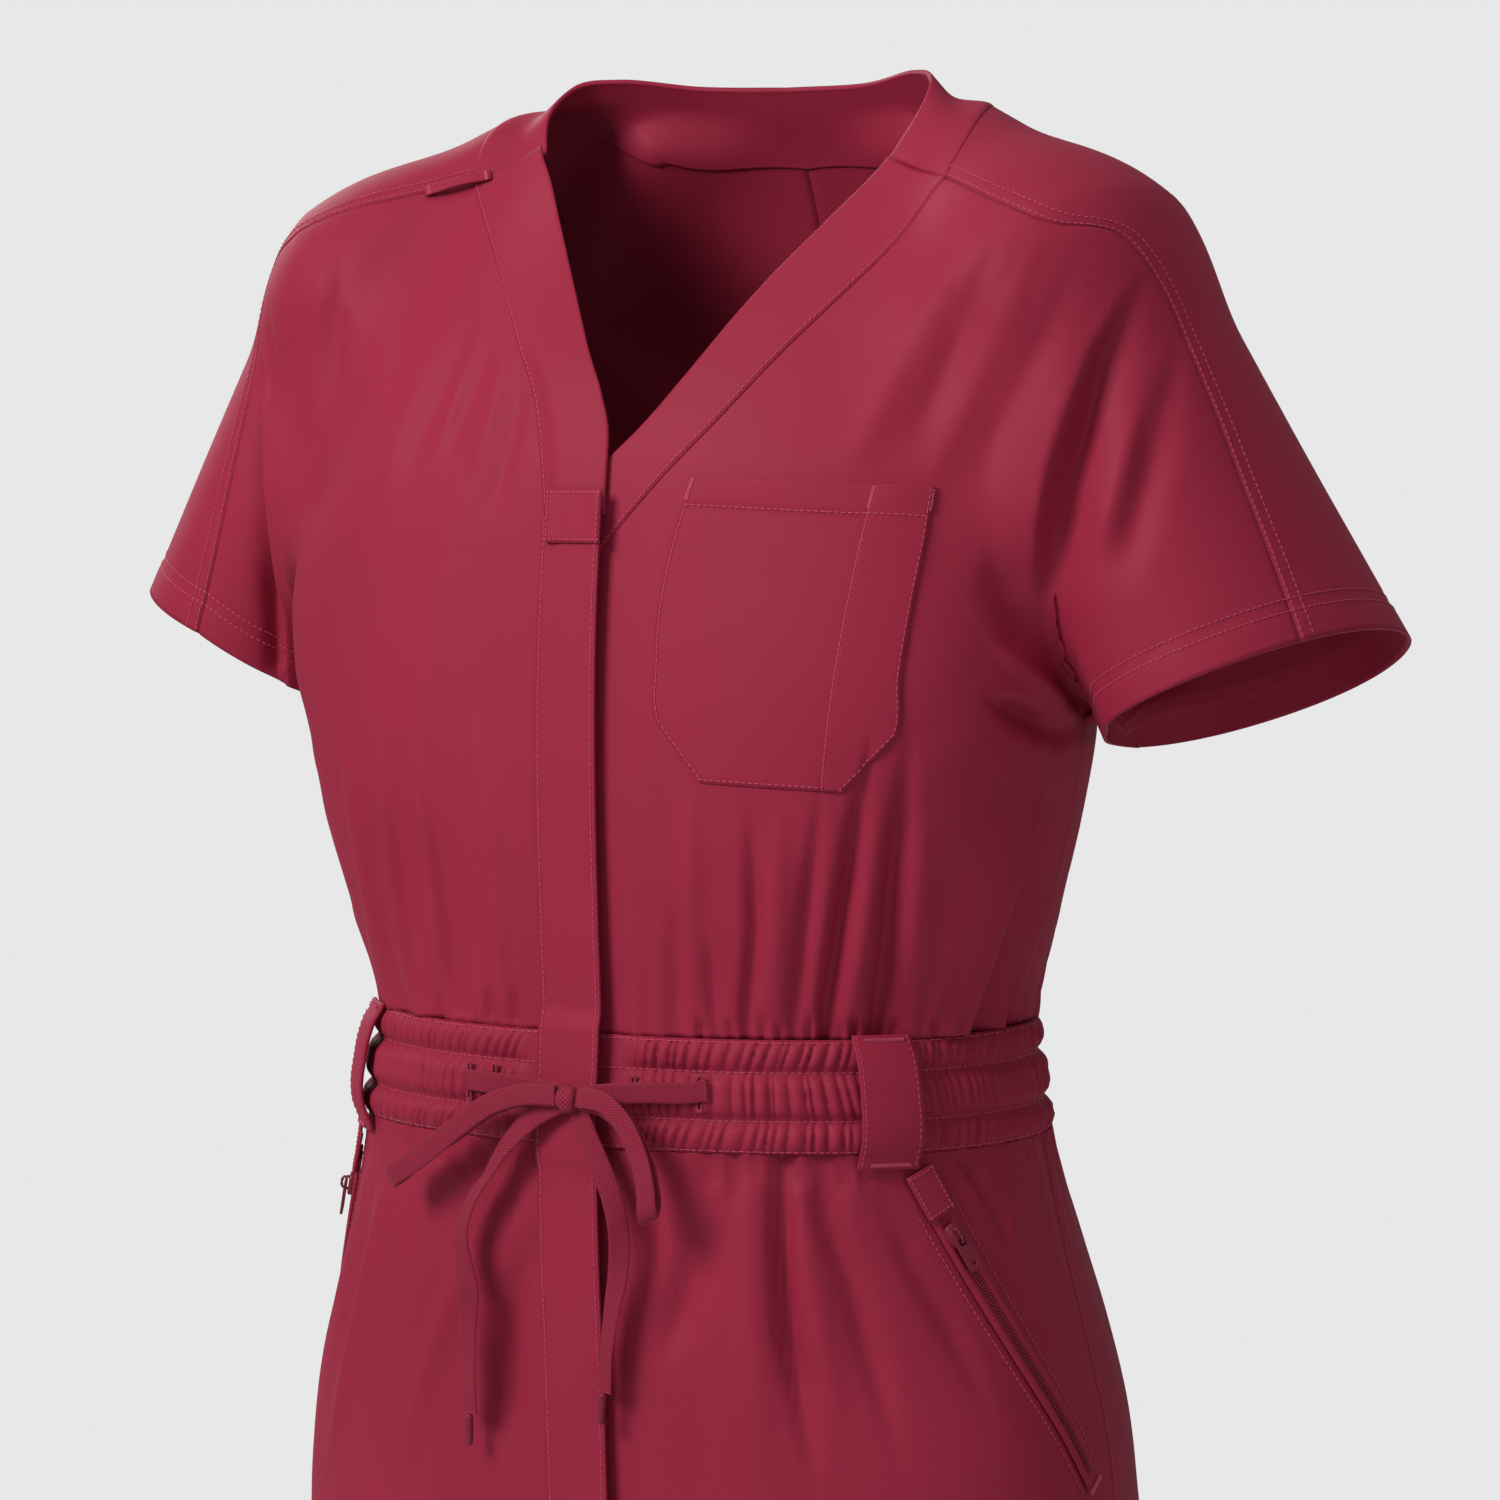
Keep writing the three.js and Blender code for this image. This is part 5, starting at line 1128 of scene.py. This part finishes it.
# belt loops, standing off the waistband between their sewn ends
loopRows = columns("z out", [
    [-381, 3.8], [-384, 5.4], [-388, 8.0], [-395, 10.2], [-406, 10.9], [-417, 10.2], [-425, 8.0],
    [-430, 5.4], [-434, 3.8]])
for side in ("left", "right"):
    handed = handOf[side]
    z, s = steps([-381, -434], [1.0]), steps([-0.5, -0.45, 0.45, 0.5], [0.02, 0.05, 0.02])
    turn = handed * (math.radians(62) + s * 22 / 128)
    p = aroundPoints(turn[None, :], z[:, None])
    n = np.stack([np.sin(turn), -np.cos(turn), 0 * turn], -1)[None] + 0 * p
    out = read(loopRows, "out", z)[:, None] - 0.3 * bell((np.abs(s) - 0.5)[None, :], 0.04)
    grid = {"p": p, "n": n, "face": p + n * out[..., None]}
    clothPiece("belt_loop_" + side, [grid], 1.5)
    for edge in ("start", "end"):
        sew("loops", *lineFrom(grid, edge, 1.8), lift=0.02)
    for row in (2, -3):
        middle, line = len(s) // 2, grid["face"][row]
        bartack("loops", line[middle], grid["n"][row, middle], unit(line[1] - line[-2]), 17)

# shoulder loop on the right: a narrow tape, slack between its ends
loopFrom, loopTo = np.array([-124.0, -19, -51]), np.array([-98.0, -6, -43.4])
t = np.linspace(0, 1, 30)
middle = settle(bodice, loopFrom + (loopTo - loopFrom) * t[:, None])
n = unit(slopeOf(bodice, middle))
across = unit(np.cross(n, unit(loopTo - loopFrom)))
out = 1.6 + 2.8 * np.sin(math.pi * t)[:, None, None]
spread = np.linspace(-2.5, 2.5, 7)[None, :, None]
face = middle[:, None] + across[:, None] * spread + n[:, None] * (out - 0.25 * np.abs(spread / 2.5) ** 3)
clothPiece("shoulder_loop", [{"face": face, "n": np.broadcast_to(n[:, None], face.shape)}], 0.8)
for k in (2, -3):
    bartack("shoulders", face[k, 3], n[k], across[k], 5.0)

# hip pocket zips: lips of cloth beside a coil, a garage patch over the head, slider and pull tab
def localGrid(handed, t, across, out):
    p, n, down, aside = zipFrame(handed, t)
    face = p[:, None] + aside[:, None] * across[None, :, None] + n[:, None] * out[..., None]
    return {"p": face, "n": np.broadcast_to(n[:, None], face.shape).copy(), "face": face}


def capsule(points, faces, start, end, radius, n, sides=6):
    # a rounded bar from start to end, appended to lists of points and faces
    way = unit(end - start)
    a = unit(np.cross(np.asarray(n, float), way))
    b = np.cross(way, a)
    first, length = sum(len(q) for q in points), np.linalg.norm(end - start)
    inset = min(radius, length / 2)
    rounding = [(0, 0.45), (inset * 0.5, 0.9), (inset, 1)]
    stations = rounding + [(length - d, size) for d, size in rounding[::-1]]
    turn = np.arange(sides) * 2 * math.pi / sides
    rim = np.cos(turn)[:, None] * a + np.sin(turn)[:, None] * b
    for d, size in stations:
        points.append(start + way * d + radius * size * rim)
    last = first + (len(stations) - 1) * sides
    faces += tubeFaces(len(stations), sides, first)
    faces += [list(range(first, first + sides))[::-1], list(range(last, last + sides))]


def roundedLoop(count, powerX, powerY):
    # a rounded rectangle of half size 1: the cosine of each turn, then x and y
    turn = np.arange(count) * 2 * math.pi / count
    c, q = np.cos(turn), np.sin(turn)
    return c, np.sign(c) * np.abs(c) ** powerX, np.sign(q) * np.abs(q) ** powerY


sliderAt = 0.125
for side in ("left", "right"):
    handed = handOf[side]
    t = np.linspace(0, 1, 90)
    across = steps([-5.6, -5.2, 5.2, 5.6], [0.2, 0.4, 0.2])
    fromMiddle = np.abs(across)
    lips = 1.75 + 0.75 * bell(fromMiddle - 3.4, 1.4) - 0.45 * bell(across, 1.5)
    lips = lips - 0.3 * bell(fromMiddle - 5.6, 0.5)
    closeEnd = ease(t, 0.93, 0.985)[:, None]
    out = lips[None, :] * (1 - closeEnd) + 2.2 * closeEnd
    clothPiece("zip_tape_" + side, [localGrid(handed, t, across, out)], 0.9)
    for away in (-8.6, 8.6):
        p, n, down, aside = zipFrame(handed, np.linspace(0.02, 1.0, 50))
        onCloth = settle(body, p + aside * away)
        nc = unit(slopeOf(body, onCloth))
        sew("zips", onCloth + nc * (trouserLift(onCloth)[:, None] + 0.15), nc)
    points, faces = [], []
    span, toothPitch = 117.0, 1.25
    for k in range(int(span / toothPitch)):
        share = 0.14 + 0.84 * k * toothPitch / span
        p, n, down, aside = (v[0] for v in zipFrame(handed, np.array([share])))
        for half in (-1, 1):
            at = p + n * 1.95 + down * (0.31 if half > 0 else -0.31)
            capsule(points, faces, at - aside * half * 0.15, at + aside * half * 1.75, 0.44, n=n)
    addObject("zip_coil_" + side, np.concatenate(points), faces, zipCoil)
    t = np.linspace(-0.1, 0.05, 16)
    across = steps([-6.6, -6.0, 6.0, 6.6], [0.3, 0.6, 0.3])
    crown = 3.3 + 0.35 * np.cos(across / 6.6 * 1.2) - 0.4 * bell(np.abs(across) - 6.6, 0.7)
    patch = localGrid(handed, t, across, crown[None, :])
    clothPiece("zip_garage_" + side, [patch], 1.2)
    for edge in allEdges:
        sew("zips", *lineFrom(patch, edge, 1.5), **shortStitch)
    p, n, down, aside = (v[0] for v in zipFrame(handed, np.array([1.0])))
    bartack("zips", p + n * 2.6 + down * 1.0, n, aside, 12.0, 2.2)

    p, n, down, aside = (v[0] for v in zipFrame(handed, np.array([sliderAt])))
    turnFrame = np.stack([down, aside, n], 1)
    local = lambda q: p + np.asarray(q, float) @ turnFrame.T

    # slider: a waisted plate with raised flanks and an arch over the tab's bar
    c, x, y = roundedLoop(40, 0.6, 0.7)
    outline = np.column_stack([5.4 * x, (3.7 - 0.9 * ease(c, -0.2, 0.9)) * y])
    levels = [(2.0, 0.93), (2.3, 1.0), (3.9, 1.0), (4.35, 0.9)]
    points = [local(np.column_stack([outline * size, np.full(len(outline), h)])) for h, size in levels]
    faces = tubeFaces(4, 40) + [list(range(40))[::-1], list(range(120, 160))]
    archRise = [[-3.1, 0, 3.9], [-3.0, 0, 6.0], [-2.2, 0, 7.2]]
    archPath = np.array(archRise + [[0, 0, 7.45]] + [[-x, 0, z] for x, _, z in archRise[::-1]])
    for a, b in zip(archPath[:-1], archPath[1:]):
        capsule(points, faces, *local([a, b]), 0.62, n=aside, sides=8)
    sliderPiece = addObject("zip_slider_" + side, np.concatenate(points), faces, zipPaint)
    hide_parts("zip_slider_" + side)

    # pull tab: a flat plate with an eye over the bar and a small hole near its end
    across, lengthwise, hinge = 3.2, 15.0, 5.7
    c, x, y = roundedLoop(64, 0.22, 0.3)
    shape = np.column_stack([(lengthwise + 0.75) / 2 * x + (lengthwise - 0.75) / 2,
                             across * (0.86 + 0.14 * ease(c, -0.9, 0.6)) * y])
    _, x, y = roundedLoop(32, 0.5, 0.5)
    eye = np.column_stack([0.75 + 1.9 * (1 + x), 1.8 * y])
    _, x, y = roundedLoop(24, 1, 1)
    hole = np.column_stack([12.4 + 1.1 * x, 1.1 * y])
    curve = bpy.data.curves.new("zip_pull_tab_shape", "CURVE")
    curve.dimensions, curve.fill_mode = "2D", "BOTH"
    curve.extrude, curve.bevel_depth, curve.bevel_resolution = 0.00036, 0.0002, 2
    for loop in (shape, eye, hole):
        spline = curve.splines.new("POLY")
        spline.points.add(len(loop) - 1)
        weights = np.tile([0.0, 1.0], (len(loop), 1))
        spline.points.foreach_set("co", np.column_stack([loop * 0.001, weights]).ravel())
        spline.use_cyclic_u = True
    made = bpy.data.objects.new("made", curve)
    bpy.context.scene.collection.objects.link(made)
    bpy.context.view_layer.update()
    tabMesh = bpy.data.meshes.new_from_object(made.evaluated_get(bpy.context.evaluated_depsgraph_get()))
    bpy.data.objects.remove(made)
    co = np.empty(len(tabMesh.vertices) * 3)
    tabMesh.vertices.foreach_get("co", co)
    co = co.reshape(-1, 3) * 1000
    co[:, 2] += hinge
    tabMesh.vertices.foreach_set("co", (local(co) * 0.001).ravel())
    tabMesh.materials.clear()
    tabMesh.materials.append(zipPaint)
    tabPiece = bpy.data.objects.new(f"zip_pull_tab_{side}_piece", tabMesh)
    bpy.context.scene.collection.objects.link(tabPiece)
    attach(tabPiece, "pull_tab_" + side)
    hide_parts("zip_pull_tab_" + side)
print("zips built")

# drawstring: flat ribbed tape from the buttonholes into a bow
tapeWidth, tapeWall = 8.5, 0.9
tapeRoutes = {
    "drawstring_right_in": {"face": None, "route": [
        [-48.5, -104.8, -405], [-36, -109, -405], [-22, -112, -405], [-8, -114, -406], [3, -114, -407]]},
    "drawstring_left_in": {"face": None, "route": [
        [62.5, -101.2, -403], [53, -106, -404], [42, -110, -404], [28, -113, -405], [13.2, -114, -407]]},
    "drawstring_right_loop": {"face": [-0.78, 0, -0.5], "route": [
        [3, -117, -407.5], [-13, -117, -408], [-30, -116, -414], [-48, -114, -425], [-65, -112, -435],
        [-77, -110, -444], [-80.5, -112.5, -446.5], [-76, -116, -444], [-62, -118.5, -436],
        [-44, -120, -423], [-27, -120.5, -412], [-11, -120, -407], [3, -119, -406.5]]},
    "drawstring_left_loop": {"face": [0.5, 0, -0.8], "route": [
        [13, -117, -408], [24, -116.5, -410], [35, -116, -418], [42, -115.5, -430], [45.5, -115.5, -442],
        [46.5, -116.2, -450], [47, -119, -453.5], [47.5, -121.8, -449], [47, -122, -441], [43, -121, -428],
        [36, -120.5, -416], [26, -120, -408], [13, -119, -406.5]]},
    "drawstring_right_tail": {"face": None, "route": [
        [2.5, -115.5, -410], [-10, -115.5, -417], [-22, -115.5, -428], [-32, -115.5, -442],
        [-41, -114, -454], [-46, -113, -467], [-45, -112.5, -478], [-43, -112, -489], [-45, -109.5, -506],
        [-45, -108.5, -522], [-46, -107, -540]]},
    "drawstring_left_tail": {"face": None, "route": [
        [12, -115, -413.5], [16, -115.5, -422], [22, -115.5, -434], [27, -115, -446], [30, -114.5, -460],
        [29, -113.5, -476], [25, -112, -492], [22, -111, -508], [20, -110.5, -525]]}}
# turn of each tail about its own run, in degrees, from the knot to the end
tailTwist = {"drawstring_right_tail": [0, 12, 30, 46, 30, 8, -14, 10, 26, 12],
             "drawstring_left_tail": [0, -14, -26, -40, -12, 14, 26, 10]}


def smoothRun(route, spacing=1.3):
    # centripetal curve through the route, resampled evenly
    pts = np.array(route, float)
    pts = np.concatenate([[2 * pts[0] - pts[1]], pts, [2 * pts[-1] - pts[-2]]])
    out = []
    for k in range(1, len(pts) - 2):
        p0, p1, p2, p3 = pts[k - 1:k + 3]
        d1, d2, d3 = (max(np.linalg.norm(b - a), 1e-6) ** 0.5 for a, b in ((p0, p1), (p1, p2), (p2, p3)))
        m1 = (p1 - p0) / d1 - (p2 - p0) / (d1 + d2) + (p2 - p1) / d2
        m2 = (p2 - p1) / d2 - (p3 - p1) / (d2 + d3) + (p3 - p2) / d3
        m1, m2 = m1 * d2, m2 * d2
        u = np.linspace(0, 1, 24, endpoint=False)[:, None]
        out.append(cubic(u, p1, m1, p2, m2))
    line = np.concatenate(out + [pts[-2:-1]])
    run = np.concatenate([[0], np.cumsum(np.linalg.norm(np.diff(line, axis=0), axis=1))])
    at = np.linspace(0, run[-1], max(int(run[-1] / spacing), 8) + 1)
    return np.stack([np.interp(at, run, line[:, c]) for c in range(3)], -1), run[-1]


def tapePiece(name, face, route):
    line, length = smoothRun(route)
    way = unit(np.gradient(line, axis=0))
    across = np.cross(np.array(face, float) if face else way, np.array([0.0, -1, 0]))
    across = np.broadcast_to(across, way.shape)
    across = unit(across - way * (across * way).sum(-1, keepdims=True))
    n = np.cross(way, across)
    if name in tailTwist:
        share = np.linspace(0, 1, len(tailTwist[name]))
        twist = np.radians(np.interp(np.linspace(0, 1, len(line)), share, tailTwist[name]))[:, None]
        across, n = across * np.cos(twist) + n * np.sin(twist), n * np.cos(twist) - across * np.sin(twist)
    # ring of a flat tape: ribs across its face, rounded selvedges
    half, wall = tapeWidth / 2, tapeWall / 2
    u = np.linspace(-1, 1, 13)
    upper = [[half * a, wall * (1 - 0.5 * abs(a) ** 6)] for a in u]
    section = np.array(upper + [[a, -b] for a, b in upper[::-1]])
    rib = 1 + 0.10 * np.cos(np.arange(len(line)) * math.pi)[:, None, None]
    points = (line[:, None] + across[:, None] * section[None, :, :1]
              + n[:, None] * section[None, :, 1:] * rib)
    sides, last = len(section), (len(line) - 1) * len(section)
    faces = wrappedFaces(len(line), sides)
    faces += [list(range(sides))[::-1], list(range(last, last + sides))]
    run = np.linspace(0, length, len(line))[:, None] + 0 * section[None, :, 0]
    uv = np.stack([run, section[None, :, 0] + 0 * run], -1).reshape(-1, 2)
    piece = addObject(name, points.reshape(-1, 3), faces, tapeCloth, uv=uv)
    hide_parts(name)
    return piece, line, length, way


# knot: a rounded lump of tape, creased where the ends cross
points = []
knotAt, knotRings, knotSides = (8, -117, -408), 15, 24
turns = np.linspace(0, 2 * math.pi, knotSides + 1)[:-1]
rises = np.linspace(-math.pi / 2, math.pi / 2, knotRings)
for rise in rises:
    c, q = math.cos(rise), math.sin(rise)
    x = 4.9 * c * np.sign(np.cos(turns)) * np.abs(np.cos(turns)) ** 0.6
    y = 4.6 * c * np.sign(np.sin(turns)) * np.abs(np.sin(turns)) ** 0.8
    z = 5.9 * q + 0 * turns
    crease = 1 - 0.12 * bell(np.sin(turns + rise * 1.6 + 0.4), 0.35) - 0.07 * bell(x - 1.2, 0.8)
    points.append(np.array(knotAt) + np.stack([x, y, z], -1) * crease[:, None])
knotUv = [[u, v] for u in np.linspace(0, 14, knotRings) for v in np.linspace(0, 28, knotSides)]
knotFaces = wrappedFaces(knotRings, knotSides)
knotPiece = addObject("drawstring_knot", np.concatenate(points), knotFaces, tapeCloth, uv=knotUv)
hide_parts("drawstring_knot")

for name, run in tapeRoutes.items():
    piece, line, length, way = tapePiece(name, run["face"], run["route"])
    if name.endswith("tail"):
        points, faces = [], []
        start, end = line[-1] + way[-1] * 0.1, line[-1] + way[-1] * 13.1
        capsule(points, faces, start, end, 1.55, sides=14, n=(0, 1, 0))
        tipName = "drawstring_aglet_" + name.split("_")[1]
        aglet = addObject(tipName, np.concatenate(points), faces, zipPaint)
        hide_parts(tipName)
print("drawstring built")

# buttonholes: closely worked thread round a near-black capsule that is painted shade for the inside of the
# slit, two on each side; the tape leaves by the outer ones
for x, z, half in ((-46, -405.5, 7.5), (-33, -402, 4.5), (31, -403, 4.5), (58, -404, 7.0)):
    p = frontPoints(body, np.array([float(x)]), np.array([float(z)]))
    n = unit(slopeOf(body, p) * [1, 1, 0])[0]
    out = float(waistOut(p)[0][0]) + 1.0
    centre, bothN = p[0] + n * out, np.stack([n, n])
    up, aside = np.array([0.0, 0, 1]), np.cross(n, [0, 0, 1.0])
    for k in range(int(half * 2 / closePitch)):
        h = -half + closePitch * k
        for flank in (-1, 1):
            at = centre + up * h + aside * flank * 0.95
            sew("buttonholes", np.stack([at - aside * 0.6, at + aside * 0.6]), bothN, pitch=1.1,
                length=1.25, radius=0.27, lift=0.15)
    points, faces = [], []
    # the slit: a thin near-black capsule, painted shade for the opening
    capsule(points, faces, centre - up * (half - 0.6), centre + up * (half - 0.6), 0.42, n=n)
    addObject(f"buttonhole_slit_{abs(x)}", np.concatenate(points), faces, slitPaintedShade)
    for h in (-half, half):
        at = centre + up * h
        for k in (-0.4, 0, 0.4):
            sew("buttonholes", np.stack([at - aside * 1.6, at + aside * 1.6]) + up * k, bothN, pitch=2.9,
                length=3.1, radius=0.27, lift=0.2)
layStitches()

# floor, backdrop light and soft studio lights
floorHalf, floorLevel = 3.0, -1.413
floorMesh = bpy.data.meshes.new("floor")
corners = [(x * floorHalf, y * floorHalf, floorLevel) for x, y in ((-1, -1), (1, -1), (1, 1), (-1, 1))]
floorMesh.from_pydata(corners, [], [(0, 1, 2, 3)])
floor = bpy.data.objects.new("floor", floorMesh)
floorMesh.materials.append(surface("floor", 0.9, colour=(0.78, 0.78, 0.79)))
bpy.context.scene.collection.objects.link(floor)
world = bpy.data.worlds.new("studio")
bpy.context.scene.world = world
world.use_nodes = True
nodes, links = world.node_tree.nodes, world.node_tree.links
back = nodes["Background"]
back.inputs["Color"].default_value, back.inputs["Strength"].default_value = (0.95, 0.96, 1.0, 1), 0.22
seen = nodes.new("ShaderNodeBackground")
seen.inputs["Color"].default_value, seen.inputs["Strength"].default_value = (0.805, 0.805, 0.81, 1), 1.0
path, either = nodes.new("ShaderNodeLightPath"), nodes.new("ShaderNodeMixShader")
links.new(path.outputs["Is Camera Ray"], either.inputs[0])
links.new(back.outputs[0], either.inputs[1])
links.new(seen.outputs[0], either.inputs[2])
links.new(either.outputs[0], nodes["World Output"].inputs[0])
for name, turn, rise, distance, size, power in (
        ("key", -22, 30, 2.6, 1.0, 53), ("fill", 62, 8, 2.8, 1.6, 8), ("top", 20, 78, 2.4, 1.4, 13),
        ("back", 238, 24, 3.0, 1.3, 26)):
    light = bpy.data.lights.new(name, "AREA")
    light.size, light.energy = size, power
    lamp = bpy.data.objects.new(name, light)
    a, e = math.radians(turn), math.radians(rise)
    way = np.array([math.sin(a) * math.cos(e), -math.cos(a) * math.cos(e), math.sin(e)])
    lamp.location = np.array([0, 0, -0.3]) + way * distance
    lamp.rotation_euler = (math.pi / 2 - e, 0, a)
    bpy.context.scene.collection.objects.link(lamp)
bpy.context.scene.view_settings.view_transform = "Standard"
